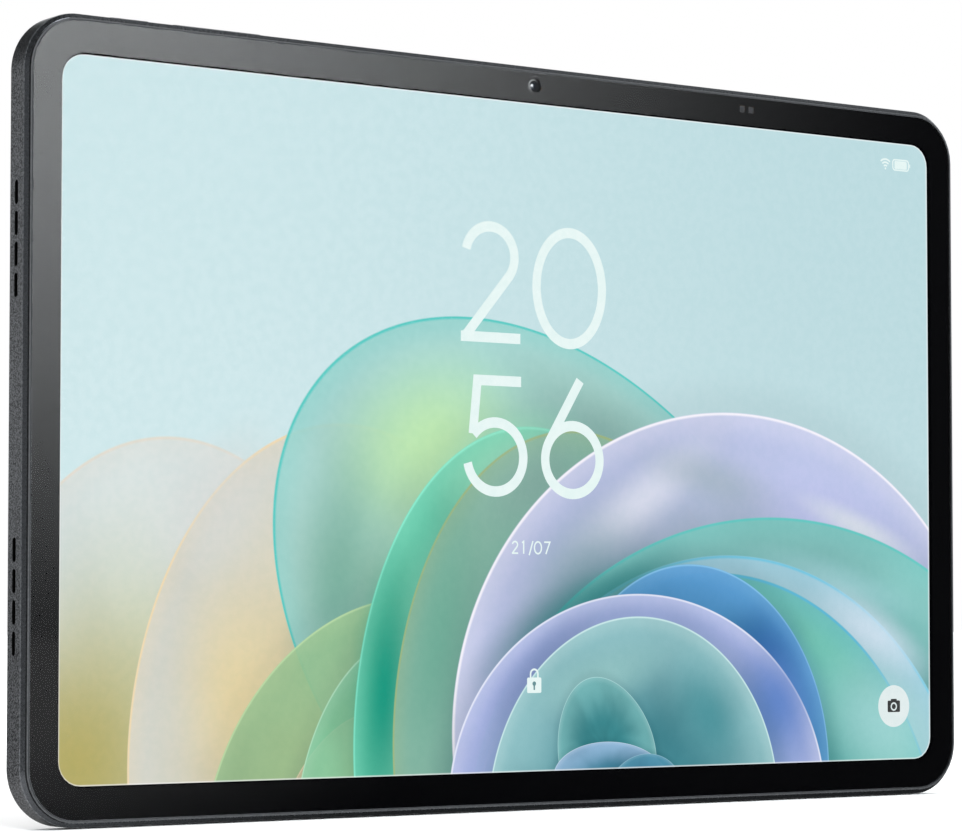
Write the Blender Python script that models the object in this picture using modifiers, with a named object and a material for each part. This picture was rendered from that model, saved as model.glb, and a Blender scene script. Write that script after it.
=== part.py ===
"""A slim tablet computer in landscape, standing upright on its long lower edge.

X runs along the long side, -Y is the way the screen faces and +Z is up. The origin lies on
the surface it stands on, under the middle of the body.

Every length below is in millimetres, and a place is (x, depth, height): depth counts backwards
from the front of the cover glass, and height from the middle of the screen.
"""
import bpy
import bmesh
from mathutils import Matrix, Vector

MM = 0.001
X, DEPTH, HEIGHT = range(3)
WELD = 1e-6

# Driving dimensions
BODY_WIDTH = 253.6
BODY_HEIGHT = 164.7
BODY_CORNER = 12.1
SCREEN_WIDTH = 236.9
SCREEN_HEIGHT = 148.1
SCREEN_CORNER = 5.1
FRONT_RIM = 0.5
REAR_FACE = 7.4
CAMERA_RISE = 0.9

# The shell
RIM_CHAMFER = 0.85
REAR_FILLET = 1.6
POCKET_INSET = 0.88
POCKET_FLOOR = 0.86
CAVITY_INSET = 2.0
CAVITY_FLOOR = 6.6
WALL_RUN = 3.0

# The glass, the ring around it and the stack behind it, as depth ranges
RING_INSET = 0.98
RING_WIDTH = 0.38
RING_DEPTHS = (0.12, 0.82)
GLASS_INSET = 1.44
GLASS_DEPTHS = (0.0, 0.6)
GLASS_EDGE = 0.12
PRINT_INSET = 1.5
PRINT_DEPTHS = (0.63, 0.7)
ADHESIVE_INSET = 1.6
ADHESIVE_WIDTH = 0.35
ADHESIVE_DEPTHS = (0.73, 0.81)
PANEL_BORDER = 0.75
PANEL_DEPTHS = (0.8, 1.6)
DIFFUSER_BORDER = 0.6
DIFFUSER_DEPTHS = (1.65, 1.8)
LIGHT_GUIDE_DEPTHS = (1.85, 2.3)
TRAY_BORDER = 1.35
TRAY_WALL = 0.25
TRAY_DEPTHS = (0.9, 2.65)
TRAY_FLOOR = 2.4
MID_PLATE_SIZE = (234.0, 146.0)
MID_PLATE_DEPTHS = (2.75, 3.0)
GRAPHITE_DEPTHS = (6.4, 6.48)
GRAPHITE_SIZE = (198.0, 110.0)
GRAPHITE_CENTRE = (4.0, 0.0)
GUIDE_FOOT = 1.2
LIGHT_STRIP_HALF = 110.0
LIGHT_STRIP_DROPS = (1.5, 0.1)
MID_PLATE_CORNER = 4.0
FLEX_SLOT = ((86.0, 2.0, -40.0), (96.0, 4.0, -20.0))
DISPLAY_FLEX_X = (79.0, 95.0)
DISPLAY_FLEX_PATH = ((1.1, -75.7), (1.1, -77.6), (3.35, -77.6), (3.35, -58.0))
FLEX_THICKNESS = 0.1
FLEX_BEND = 0.7

# Speakers and their slots, mirrored about both middle lines
SLOT_LENGTH = 4.72
SLOT_WIDTH = 1.2
SLOT_DEPTH = 4.15
SLOT_HEIGHTS = (26.6, 32.85, 39.1, 45.35)
SPEAKER_X = (106.5, 124.0)
SPEAKER_HEIGHTS = (24.2, 48.3)
SPEAKER_DEPTHS = (3.1, 6.3)
SPEAKER_MESH_X = (124.25, 124.5)
SPEAKER_MESH_DEPTHS = (2.8, 5.5)
SPEAKER_DUCT_X = (119.0, 126.0)
SPEAKER_DUCT_DEPTHS = (3.5, 5.2)
SPEAKER_DUCT_MARGIN = 1.2
MICROPHONE = ((28.2, 2.3, 79.1), (31.8, 4.9, 80.2))
MICROPHONE_X = 30.0
MICROPHONE_HOLE_RADIUS = 0.5

# Keys on the top edge
KEY_DEPTH = 3.6
KEY_THICKNESS = 2.3
KEY_PROUD = 0.35
KEY_FOOT = 80.0
POWER_X = -101.7
POWER_LENGTH = 9.9
POWER_TRAVEL = 0.35
ROCKER_X = -80.7
ROCKER_LENGTH = 22.2
ROCKER_PIVOT_HEIGHT = 81.0
ROCKER_PLUNGER_OFFSET = 7.5
FLANGE_OVERHANG = 0.8
FLANGE_THICKNESS = 0.45
SWITCH_TOP = 78.5
SWITCH_HEIGHTS = (77.0, 78.1)
SWITCH_HALF = (1.7, 1.1)
SWITCH_STEM_RADIUS = 0.8
PLUNGER_RADIUS = 0.7
KEY_EDGE = 0.2
POWER_FLANGE_TOP = 80.15
ROCKER_FLANGE_TOP = 79.9
BUTTON_FLEX = (((-110.0, 2.2, 76.75), (-66.0, 5.0, 76.9)),
               ((-70.0, 4.2, 64.5), (-66.0, 4.3, 76.8)),
               ((-70.0, 4.2, 64.5), (95.5, 4.3, 68.5)),
               ((92.0, 4.2, 57.0), (95.5, 4.3, 65.0)))

# Charging socket, card tray and its ejector on the right edge
SOCKET_DEPTH = 3.9
USB_OUTER = (9.0, 3.2)
USB_INNER = (8.4, 2.6)
USB_SHELL_X = (120.0, 126.5)
USB_TONGUE_BASE = (8.2, 2.4)
USB_TONGUE_BLADE = ((121.5, 3.55, -3.35), (125.3, 4.25, 3.35))
USB_BOARD = ((106.5, 5.62, -9.0), (124.0, 6.2, 9.0))
USB_BOARD_TAIL = ((98.0, 5.62, -3.0), (107.0, 5.72, 3.0))
TRAY_CAP_X = (125.0, 126.8)
TRAY_PLATE_X = (108.2, 125.3)
TRAY_PLATE_DEPTHS = (3.5, 4.3)
CARD_POCKET_X = (109.0, 123.6)
CARD_POCKET_EDGE = 0.45
PIN_HOLE_RADIUS = 0.45
CARD_SOCKET_X = (108.6, 123.8)
CARD_SOCKET_DEPTHS = (3.08, 4.75)
CARD_SOCKET_BORE = (3.35, 4.45)
EJECT_ROD_X = (106.7, 124.4)
EJECT_ROD_RADIUS = 0.35
LEVER_HALF = (0.75, 0.3, 4.3)
LEVER_BORE_RADIUS = 0.53
LEVER_PIN_RADIUS = 0.45
TRAY_CAP_LENGTH = 14.4
TRAY_CAP_THICKNESS = 2.0
TRAY_HEIGHT = -14.8
TRAY_PLATE_HEIGHTS = (-20.2, -8.2)
EJECT_HEIGHT = -21.3
LEVER_PIVOT = (105.7, 3.9, -17.4)

# Cameras and sensors
FRONT_CAMERA_HEIGHT = 78.0
SENSOR_X = (60.3, 63.0)
SENSOR_HEIGHT = 78.15
REAR_CAMERA = (109.0, 66.0)
REAR_CAMERA_SIZE = 8.6
CAMERA_HOLE_RADIUS = 5.3
FRONT_WINDOW_RADIUS = 2.2
SENSOR_WINDOW_HALF = 0.85
SENSOR_HALF = 0.75

# Circuit board and battery
BOARD_X = (77.0, 104.0)
BOARD_HEIGHTS = (-66.0, 62.0)
BOARD_DEPTHS = (4.6, 5.4)
BOARD_SCREWS = ((79.5, -63.0), (101.5, -63.0), (101.5, 59.0))
BATTERY_DEPTHS = (3.2, 6.2)
BATTERY_HEIGHTS = (-57.0, 57.0)
BATTERY_CELLS = (("battery_cell_left", (-97.0, -10.0)), ("battery_cell_right", (-7.0, 72.0)))
CELL_EDGE = 0.9
BATTERY_BOARD = ((-45.0, 3.9, 58.5), (20.0, 4.7, 63.0))
BATTERY_TAIL = ((19.5, 3.9, 59.0), (83.5, 4.0, 62.0))
BOARD_PLUGS = (((80.5, 3.5, -60.6), (94.0, 4.7, -57.6)), ((79.0, 4.1, 58.8), (84.0, 4.7, 61.6)),
               ((79.0, 3.9, 32.0), (85.0, 4.7, 50.0)), ((93.0, 3.8, 30.0), (101.0, 4.7, 42.0)))
SCREW_CLEARANCE_RADIUS = 0.85
SCREW_THREAD_RADIUS = 0.8
SCREW_POST_RADIUS = 1.6
SCREW_SEAT = 4.55
SCREW_PROFILE = ((0.0, 0.6), (1.1, 0.6), (1.4, 0.35), (1.4, 0.0), (0.6, 0.0), (0.6, -1.5),
                 (0.0, -1.5))
POST_SINK = 0.3
PROCESSOR = ((84.5, 3.6, 0.0), (97.5, 4.5, 13.0))
SHIELDS = (("processor_shield", (-10.0, 25.0)), ("radio_shield", (-50.0, -15.0)))
SHIELD_X = (80.0, 102.0)
SHIELD_DEPTHS = (3.15, 4.52)
SHIELD_SHEET = 0.25
ANTENNA_X = (99.0, 120.5)
ANTENNA_DEPTHS = (3.5, 3.7)
ANTENNA_HEIGHTS = (71.5, 78.6)
ANTENNA_SLOT_X = (102.0, 117.5)
ANTENNA_SLOT_HEIGHTS = (73.2, 75.2)
CABLE_DEPTH = 4.0
CABLE_RADIUS = 0.4
CABLE_PATH = ((-98.4, -75.0), (-94.0, -74.5), (-88.0, -70.0), (-80.0, -64.5), (-70.0, -61.5),
              (-50.0, -60.2), (-20.0, -60.0), (10.0, -60.0), (40.0, -60.0), (60.0, -60.6),
              (70.0, -62.5), (76.0, -66.0), (82.0, -69.0), (88.0, -69.0), (92.0, -66.8))

# Steps in the corners of plates, from the ones in plain sight to the hidden ones
FINE_CORNER = 9
POCKET_CORNER = 7
PLAIN_CORNER = 6
CAVITY_CORNER = 5
HIDDEN_CORNER = 4
ROUND_HOLE = 20

# Colour, roughness and metallic value of each kind of material
FINISHES = {
    "anodised": ((0.09, 0.09, 0.095), 0.5, 0.8),
    "black_glass": ((0.01, 0.01, 0.012), 0.08, 0.0),
    "clear_glass": ((0.6, 0.65, 0.68), 0.05, 0.0),
    "black_plastic": ((0.02, 0.02, 0.022), 0.45, 0.0),
    "screen": ((0.45, 0.65, 0.66), 0.3, 0.0),
    "film": ((0.8, 0.82, 0.84), 0.35, 0.0),
    "steel": ((0.5, 0.5, 0.5), 0.35, 1.0),
    "flex": ((0.55, 0.3, 0.08), 0.4, 0.1),
    "board": ((0.01, 0.08, 0.05), 0.45, 0.0),
    "cell": ((0.05, 0.05, 0.055), 0.4, 0.2),
    "graphite": ((0.04, 0.04, 0.045), 0.5, 0.5),
    "lens": ((0.02, 0.015, 0.04), 0.03, 0.0),
}


def clear_scene():
    for item in list(bpy.data.objects):
        bpy.data.objects.remove(item, do_unlink=True)


def collection(name):
    group = bpy.data.collections.new(name)
    bpy.context.scene.collection.children.link(group)
    return group


def world(place):
    """A place in the tablet's own millimetres as a world position in metres."""
    front = -(REAR_FACE + CAMERA_RISE) / 2
    x, depth, height = place
    return Vector((x, front + depth, BODY_HEIGHT / 2 + height)) * MM


def paint(item, finish):
    colour, roughness, metallic = FINISHES[finish]
    material = bpy.data.materials.new(item.name)
    material.use_nodes = True
    shader = material.node_tree.nodes["Principled BSDF"]
    shader.inputs["Base Color"].default_value = (*colour, 1.0)
    shader.inputs["Roughness"].default_value = roughness
    shader.inputs["Metallic"].default_value = metallic
    item.data.materials.append(material)


def place_mesh(name, bm, group, origin=None):
    """Turn a bmesh drawn in the tablet's millimetres into an object with its own origin."""
    if origin is None:
        lows = [min(v.co[axis] for v in bm.verts) for axis in range(3)]
        highs = [max(v.co[axis] for v in bm.verts) for axis in range(3)]
        origin = [(low + high) / 2 for low, high in zip(lows, highs)]
    bmesh.ops.translate(bm, vec=-Vector(origin), verts=bm.verts)
    bm.transform(Matrix.Scale(MM, 4))
    mesh = bpy.data.meshes.new(name)
    bm.to_mesh(mesh)
    bm.free()
    item = bpy.data.objects.new(name, mesh)
    item.location = world(origin)
    group.objects.link(item)
    return item


def part(name, bm, finish, origin=None):
    item = place_mesh(name, bm, parts, origin)
    paint(item, finish)
    item.data.shade_smooth()
    item.data.set_sharp_from_angle(angle=0.6)
    return item


def apply_tool(target, bm, operation):
    tool = place_mesh(f"{operation.lower()}_{target.name}", bm, cutters)
    tool.hide_render = True
    tool.display_type = 'WIRE'
    change = target.modifiers.new(operation.lower(), 'BOOLEAN')
    change.operation = operation
    change.solver = 'EXACT'
    change.object = tool


def cut(target, bm):
    apply_tool(target, bm, 'DIFFERENCE')


def join(target, bm):
    apply_tool(target, bm, 'UNION')


def add_block(bm, low, high, edge=0.0, axis=None, steps=3):
    """A box from corner to corner. Its edges along axis, or all of them, are rounded."""
    low = Vector(low)
    high = Vector(high)
    made = bmesh.ops.create_cube(bm, size=1.0)["verts"]
    bmesh.ops.scale(bm, vec=high - low, verts=made)
    bmesh.ops.translate(bm, vec=(low + high) / 2, verts=made)
    if edge:
        edges = {e for v in made for e in v.link_edges}
        chosen = [e for e in edges if axis is None or runs_along(e, axis)]
        bmesh.ops.bevel(bm, geom=chosen, offset=edge, segments=steps, profile=0.5,
                        affect='EDGES')
    return bm


def runs_along(edge, axis):
    start, end = (v.co for v in edge.verts)
    return abs(start[axis] - end[axis]) > 0.99 * (start - end).length


def add_rod(bm, start, end, radius, segments=12):
    """A cylinder between two places."""
    start = Vector(start)
    end = Vector(end)
    run = end - start
    turn = Vector((0, 0, 1)).rotation_difference(run).to_matrix().to_4x4()
    matrix = Matrix.Translation((start + end) / 2) @ turn
    bmesh.ops.create_cone(bm, cap_ends=True, segments=segments, radius1=radius,
                          radius2=radius, depth=run.length, matrix=matrix)
    return bm


def block(low, high, edge=0.0, axis=None, steps=3):
    return add_block(bmesh.new(), low, high, edge, axis, steps)


def blocks(corners):
    bm = bmesh.new()
    for low, high in corners:
        add_block(bm, low, high)
    return bm


def bevel_rim(bm, depth, offset, steps):
    """Round the rim of the plate face that lies at this depth."""
    rim = [e for e in bm.edges if all(abs(v.co[DEPTH] - depth) < WELD for v in e.verts)]
    bmesh.ops.bevel(bm, geom=rim, offset=offset, segments=steps, profile=0.5,
                    affect='EDGES')


def plate(size, depths, corner, steps=PLAIN_CORNER, centre=(0.0, 0.0)):
    """A plate parallel to the screen with rounded corners."""
    half_width = size[0] / 2
    half_height = size[1] / 2
    low = (centre[0] - half_width, depths[0], centre[1] - half_height)
    high = (centre[0] + half_width, depths[1], centre[1] + half_height)
    return block(low, high, corner, DEPTH, steps)


def body_plate(inset, depths, steps=PLAIN_CORNER):
    """A plate that follows the body's outline, this far inside it."""
    size = (BODY_WIDTH - 2 * inset, BODY_HEIGHT - 2 * inset)
    return plate(size, depths, BODY_CORNER - inset, steps)


def screen_plate(border, depths, steps=PLAIN_CORNER):
    """A plate that follows the screen's outline, this far outside it."""
    size = (SCREEN_WIDTH + 2 * border, SCREEN_HEIGHT + 2 * border)
    return plate(size, depths, SCREEN_CORNER + border, steps)


def through(depths):
    """Cutting depths that pass clear of both faces."""
    return (depths[0] - 1.0, depths[1] + 1.0)


def turned(name, finish, profile, origin, facing, closed=False, steps=20):
    """A turned piece: profile lists (radius, distance along the facing direction)."""
    bm = bmesh.new()
    points = [bm.verts.new((radius * MM, 0.0, along * MM)) for radius, along in profile]
    pairs = list(zip(points, points[1:]))
    if closed:
        pairs.append((points[-1], points[0]))
    for start, end in pairs:
        bm.edges.new((start, end))
    mesh = bpy.data.meshes.new(name)
    bm.to_mesh(mesh)
    bm.free()
    item = bpy.data.objects.new(name, mesh)
    item.location = world(origin)
    item.rotation_mode = 'QUATERNION'
    item.rotation_quaternion = Vector((0, 0, 1)).rotation_difference(Vector(facing))
    parts.objects.link(item)
    paint(item, finish)
    screw = item.modifiers.new("turn", 'SCREW')
    screw.steps = steps
    screw.render_steps = steps
    screw.use_merge_vertices = True
    screw.merge_threshold = WELD
    return item


# ---------------------------------------------------------------- shell and glass

def speaker_sides():
    """The four speakers, as (name, side of the body, upper or lower half)."""
    for side, across in ((-1, "left"), (1, "right")):
        for half, level in ((1, "upper"), (-1, "lower")):
            yield f"{level}_{across}", side, half


def ordered(first, second):
    return (min(first, second), max(first, second))


def mirrored_block(bm, side, half, x_range, depths, heights, **rounding):
    x_low, x_high = ordered(side * x_range[0], side * x_range[1])
    low, high = ordered(half * heights[0], half * heights[1])
    return add_block(bm, (x_low, depths[0], low), (x_high, depths[1], high), **rounding)


def key_opening(bm, centre, length, clearance=0.15):
    half = length / 2 + clearance
    thick = KEY_THICKNESS / 2 + clearance
    low = (centre - half, KEY_DEPTH - thick, BODY_HEIGHT / 2 - WALL_RUN)
    high = (centre + half, KEY_DEPTH + thick, BODY_HEIGHT / 2 + WALL_RUN)
    add_block(bm, low, high, thick * 0.95, HEIGHT, 4)


def make_housing():
    bm = body_plate(0.0, (FRONT_RIM, REAR_FACE), FINE_CORNER)
    bevel_rim(bm, FRONT_RIM, RIM_CHAMFER, 1)
    bevel_rim(bm, REAR_FACE, REAR_FILLET, 3)
    housing = part("rear_housing", bm, "anodised")
    cut(housing, body_plate(POCKET_INSET, (-1.0, POCKET_FLOOR), POCKET_CORNER))
    cut(housing, body_plate(CAVITY_INSET, (-1.0, CAVITY_FLOOR), CAVITY_CORNER))

    wall = (BODY_WIDTH / 2 - WALL_RUN, BODY_WIDTH / 2 + WALL_RUN)
    openings = bmesh.new()
    slot_depths = (SLOT_DEPTH - SLOT_WIDTH / 2, SLOT_DEPTH + SLOT_WIDTH / 2)
    for _, side, half in speaker_sides():
        for centre in SLOT_HEIGHTS:
            heights = (centre - SLOT_LENGTH / 2, centre + SLOT_LENGTH / 2)
            mirrored_block(openings, side, half, wall, slot_depths, heights,
                           edge=SLOT_WIDTH * 0.49, axis=X, steps=3)
    key_opening(openings, POWER_X, POWER_LENGTH)
    key_opening(openings, ROCKER_X, ROCKER_LENGTH)
    socket_opening(openings, wall, USB_OUTER[0], USB_OUTER[1], 0.0)
    socket_opening(openings, wall, TRAY_CAP_LENGTH, TRAY_CAP_THICKNESS, TRAY_HEIGHT)
    cut(housing, openings)

    microphone_hole = add_rod(bmesh.new(), (MICROPHONE_X, KEY_DEPTH, 79.0),
                              (MICROPHONE_X, KEY_DEPTH, 84.0), MICROPHONE_HOLE_RADIUS)
    cut(housing, microphone_hole)
    x, height = REAR_CAMERA
    camera_hole = add_rod(bmesh.new(), (x, CAVITY_FLOOR - 0.6, height),
                          (x, REAR_FACE + 1.6, height), CAMERA_HOLE_RADIUS, ROUND_HOLE)
    cut(housing, camera_hole)

    posts = bmesh.new()
    for x, height in BOARD_SCREWS:
        add_rod(posts, (x, BOARD_DEPTHS[1] + 0.1, height), (x, CAVITY_FLOOR + POST_SINK, height),
                SCREW_POST_RADIUS)
    x, depth, height = LEVER_PIVOT
    add_rod(posts, (x, depth - 0.4, height), (x, CAVITY_FLOOR + POST_SINK, height),
            LEVER_PIN_RADIUS)
    join(housing, posts)
    threads = bmesh.new()
    for x, height in BOARD_SCREWS:
        add_rod(threads, (x, 5.0, height), (x, 6.4, height), SCREW_THREAD_RADIUS)
    cut(housing, threads)


def socket_opening(bm, wall, length, thickness, centre, clearance=0.15):
    half = length / 2 + clearance
    thick = thickness / 2 + clearance
    low = (wall[0], SOCKET_DEPTH - thick, centre - half)
    high = (wall[1], SOCKET_DEPTH + thick, centre + half)
    add_block(bm, low, high, thick * 0.95, X, 4)


def make_glass():
    ring = part("glass_surround", body_plate(RING_INSET, RING_DEPTHS, FINE_CORNER),
                "black_plastic")
    cut(ring, body_plate(RING_INSET + RING_WIDTH, through(RING_DEPTHS), FINE_CORNER))

    bm = body_plate(GLASS_INSET, GLASS_DEPTHS, FINE_CORNER)
    bevel_rim(bm, GLASS_DEPTHS[0], GLASS_EDGE, 2)
    part("cover_glass", bm, "black_glass")

    border = part("border_print", body_plate(PRINT_INSET, PRINT_DEPTHS), "black_plastic")
    windows = screen_plate(0.0, through(PRINT_DEPTHS))
    low, high = through(PRINT_DEPTHS)
    add_rod(windows, (0.0, low, FRONT_CAMERA_HEIGHT), (0.0, high, FRONT_CAMERA_HEIGHT),
            FRONT_WINDOW_RADIUS, ROUND_HOLE)
    half = SENSOR_WINDOW_HALF
    for x in SENSOR_X:
        add_block(windows, (x - half, low, SENSOR_HEIGHT - half),
                  (x + half, high, SENSOR_HEIGHT + half))
    cut(border, windows)

    outer = body_plate(ADHESIVE_INSET, ADHESIVE_DEPTHS, CAVITY_CORNER)
    adhesive = part("display_adhesive", outer, "black_plastic")
    cut(adhesive, body_plate(ADHESIVE_INSET + ADHESIVE_WIDTH, through(ADHESIVE_DEPTHS),
                             CAVITY_CORNER))


def make_display():
    part("display_panel", screen_plate(PANEL_BORDER, PANEL_DEPTHS, HIDDEN_CORNER), "screen")
    part("diffuser_sheet", screen_plate(DIFFUSER_BORDER, DIFFUSER_DEPTHS, HIDDEN_CORNER), "film")
    guide_low = -SCREEN_HEIGHT / 2 + GUIDE_FOOT
    guide_high = SCREEN_HEIGHT / 2 + DIFFUSER_BORDER
    guide_half = SCREEN_WIDTH / 2 + DIFFUSER_BORDER
    front, rear = LIGHT_GUIDE_DEPTHS
    guide = block((-guide_half, front, guide_low), (guide_half, rear, guide_high),
                  SCREEN_CORNER + DIFFUSER_BORDER, DEPTH, HIDDEN_CORNER)
    part("light_guide", guide, "clear_glass")
    strip = block((-LIGHT_STRIP_HALF, front, guide_low - LIGHT_STRIP_DROPS[0]),
                  (LIGHT_STRIP_HALF, rear, guide_low - LIGHT_STRIP_DROPS[1]))
    part("led_strip", strip, "film")
    tray = part("display_tray", screen_plate(TRAY_BORDER, TRAY_DEPTHS, HIDDEN_CORNER), "steel")
    cut(tray, screen_plate(TRAY_BORDER - TRAY_WALL, (-1.0, TRAY_FLOOR), HIDDEN_CORNER))
    middle = part("mid_plate", plate(MID_PLATE_SIZE, MID_PLATE_DEPTHS, MID_PLATE_CORNER, 3),
                  "steel")
    cut(middle, block(*FLEX_SLOT, 2.0, DEPTH, 2))
    ribbon("display_flex", DISPLAY_FLEX_X, DISPLAY_FLEX_PATH)
    part("graphite_sheet", plate(GRAPHITE_SIZE, GRAPHITE_DEPTHS, 2.0, 2, GRAPHITE_CENTRE),
         "graphite")


def ribbon(name, x_range, path):
    """A flat flex that runs through (depth, height) places, as a strip given thickness."""
    middle = Vector((sum(x_range) / 2, *path[0]))
    bm = bmesh.new()
    rows = []
    for depth, height in path:
        rows.append([bm.verts.new((Vector((x, depth, height)) - middle) * MM) for x in x_range])
    for first, second in zip(rows, rows[1:]):
        bm.faces.new((first[0], first[1], second[1], second[0]))
    bends = [v for row in rows[1:-1] for v in row]
    folds = [e for e in bm.edges if e.verts[0] in bends and e.verts[1] in bends
             and runs_along(e, X)]
    bmesh.ops.bevel(bm, geom=folds, offset=FLEX_BEND * MM, segments=3, profile=0.5, affect='EDGES')
    mesh = bpy.data.meshes.new(name)
    bm.to_mesh(mesh)
    bm.free()
    item = bpy.data.objects.new(name, mesh)
    item.location = world(middle)
    parts.objects.link(item)
    paint(item, "flex")
    solid = item.modifiers.new("thickness", 'SOLIDIFY')
    solid.thickness = FLEX_THICKNESS * MM
    solid.offset = 0.0


# ---------------------------------------------------------------- inside

def make_battery():
    bottom, top = BATTERY_HEIGHTS
    for name, (left, right) in BATTERY_CELLS:
        cell = block((left, BATTERY_DEPTHS[0], bottom), (right, BATTERY_DEPTHS[1], top),
                     CELL_EDGE, None, 2)
        part(name, cell, "cell")
    board = part("battery_board", block(*BATTERY_BOARD), "board")
    join(board, block(*BATTERY_TAIL))


def make_main_board():
    low = (BOARD_X[0], BOARD_DEPTHS[0], BOARD_HEIGHTS[0])
    high = (BOARD_X[1], BOARD_DEPTHS[1], BOARD_HEIGHTS[1])
    board = part("main_board", block(low, high, 1.5, DEPTH, 2), "board")
    join(board, blocks(BOARD_PLUGS))
    holes = bmesh.new()
    for x, height in BOARD_SCREWS:
        add_rod(holes, (x, BOARD_DEPTHS[0] - 0.6, height), (x, BOARD_DEPTHS[1] + 0.6, height),
                SCREW_CLEARANCE_RADIUS)
    cut(board, holes)
    for number, (x, height) in enumerate(BOARD_SCREWS, start=1):
        turned(f"board_screw_{number}", "steel", SCREW_PROFILE, (x, SCREW_SEAT, height),
               (0, -1, 0), steps=12)
    part("processor_chip", block(*PROCESSOR), "black_plastic")
    left, right = SHIELD_X
    front, rear = SHIELD_DEPTHS
    for name, (bottom, top) in SHIELDS:
        shield = part(name, block((left, front, bottom), (right, rear, top), 0.3, DEPTH, 2),
                      "steel")
        cut(shield, block((left + SHIELD_SHEET, front + SHIELD_SHEET, bottom + SHIELD_SHEET),
                          (right - SHIELD_SHEET, 6.0, top - SHIELD_SHEET)))


def make_antennas():
    for name, side in (("wifi_antenna_left", -1), ("wifi_antenna_right", 1)):
        bm = mirrored_block(bmesh.new(), side, -1, ANTENNA_X, ANTENNA_DEPTHS, ANTENNA_HEIGHTS,
                            edge=1.0, axis=DEPTH, steps=2)
        antenna = part(name, bm, "flex")
        cut(antenna, mirrored_block(bmesh.new(), side, -1, ANTENNA_SLOT_X,
                                    through(ANTENNA_DEPTHS), ANTENNA_SLOT_HEIGHTS))
    coax(CABLE_PATH)


def coax(path):
    """The antenna lead, clipped along the lower edge of the battery to the main board."""
    curve = bpy.data.curves.new("antenna_cable", 'CURVE')
    curve.dimensions = '3D'
    curve.bevel_depth = CABLE_RADIUS * MM
    curve.bevel_resolution = 2
    curve.use_fill_caps = True
    line = curve.splines.new('POLY')
    line.points.add(len(path) - 1)
    middle = world((0.0, CABLE_DEPTH, path[0][1]))
    for point, (x, height) in zip(line.points, path):
        point.co = (*(world((x, CABLE_DEPTH, height)) - middle), 1.0)
    item = bpy.data.objects.new("antenna_cable", curve)
    item.location = middle
    parts.objects.link(item)
    paint(item, "black_plastic")


def make_speakers():
    for name, side, half in speaker_sides():
        bm = mirrored_block(bmesh.new(), side, half, SPEAKER_X, SPEAKER_DEPTHS,
                            SPEAKER_HEIGHTS, edge=0.8, axis=DEPTH, steps=2)
        speaker = part(f"speaker_{name}", bm, "black_plastic")
        duct = (SPEAKER_HEIGHTS[0] + SPEAKER_DUCT_MARGIN, SPEAKER_HEIGHTS[1] - SPEAKER_DUCT_MARGIN)
        cut(speaker, mirrored_block(bmesh.new(), side, half, SPEAKER_DUCT_X,
                                    SPEAKER_DUCT_DEPTHS, duct))
        bm = mirrored_block(bmesh.new(), side, half, SPEAKER_MESH_X, SPEAKER_MESH_DEPTHS,
                            SPEAKER_HEIGHTS)
        part(f"speaker_mesh_{name}", bm, "steel")
    part("microphone", block(*MICROPHONE), "steel")


# ---------------------------------------------------------------- keys

def key(name, centre, length, plungers, origin, flange_top):
    """A key: rounded cap in the edge, wider foot inside the wall, and plungers below it."""
    half = length / 2
    thick = KEY_THICKNESS / 2
    top = BODY_HEIGHT / 2 + KEY_PROUD
    bm = block((centre - half, KEY_DEPTH - thick, KEY_FOOT - 0.5),
               (centre + half, KEY_DEPTH + thick, top), thick * 0.95, HEIGHT, 4)
    rim = [e for e in bm.edges if all(abs(v.co[HEIGHT] - top) < WELD for v in e.verts)]
    bmesh.ops.bevel(bm, geom=rim, offset=KEY_EDGE, segments=2, profile=0.5,
                    affect='EDGES')
    item = part(name, bm, "anodised", origin)
    half += FLANGE_OVERHANG
    thick += FLANGE_OVERHANG
    foot = block((centre - half, KEY_DEPTH - thick, flange_top - FLANGE_THICKNESS),
                 (centre + half, KEY_DEPTH + thick, flange_top), 0.5, HEIGHT, 2)
    join(item, foot)
    pins = bmesh.new()
    for x in plungers:
        add_rod(pins, (x, KEY_DEPTH, SWITCH_TOP + 0.5), (x, KEY_DEPTH, flange_top - 0.1),
                PLUNGER_RADIUS)
    join(item, pins)


def make_keys():
    key("power_button", POWER_X, POWER_LENGTH, (POWER_X,),
        (POWER_X, KEY_DEPTH, BODY_HEIGHT / 2), POWER_FLANGE_TOP)
    plungers = (ROCKER_X - ROCKER_PLUNGER_OFFSET, ROCKER_X + ROCKER_PLUNGER_OFFSET)
    key("volume_rocker", ROCKER_X, ROCKER_LENGTH, plungers,
        (ROCKER_X, KEY_DEPTH, ROCKER_PIVOT_HEIGHT), ROCKER_FLANGE_TOP)
    switches = (("power_switch", POWER_X), ("volume_up_switch", plungers[0]),
                ("volume_down_switch", plungers[1]))
    across, through_depth = SWITCH_HALF
    bottom, top = SWITCH_HEIGHTS
    for name, x in switches:
        bm = block((x - across, KEY_DEPTH - through_depth, bottom),
                   (x + across, KEY_DEPTH + through_depth, top))
        switch = part(name, bm, "steel")
        join(switch, add_rod(bmesh.new(), (x, KEY_DEPTH, top - 0.1), (x, KEY_DEPTH, SWITCH_TOP),
                             SWITCH_STEM_RADIUS))
    flex = part("button_flex", block(*BUTTON_FLEX[0]), "flex")
    for low, high in BUTTON_FLEX[1:]:
        join(flex, block(low, high))


# ---------------------------------------------------------------- right edge

def make_charging_socket():
    low, high = USB_SHELL_X
    shell = part("usb_c_shell", oval(USB_SHELL_X, USB_OUTER), "steel")
    cut(shell, oval((low - 1.0, high + 1.0), USB_INNER))
    tongue = part("usb_c_tongue", oval((low + 0.1, low + 1.9), USB_TONGUE_BASE),
                  "black_plastic")
    join(tongue, block(*USB_TONGUE_BLADE))
    board = part("usb_board", block(*USB_BOARD), "board")
    join(board, block(*USB_BOARD_TAIL))


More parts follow.
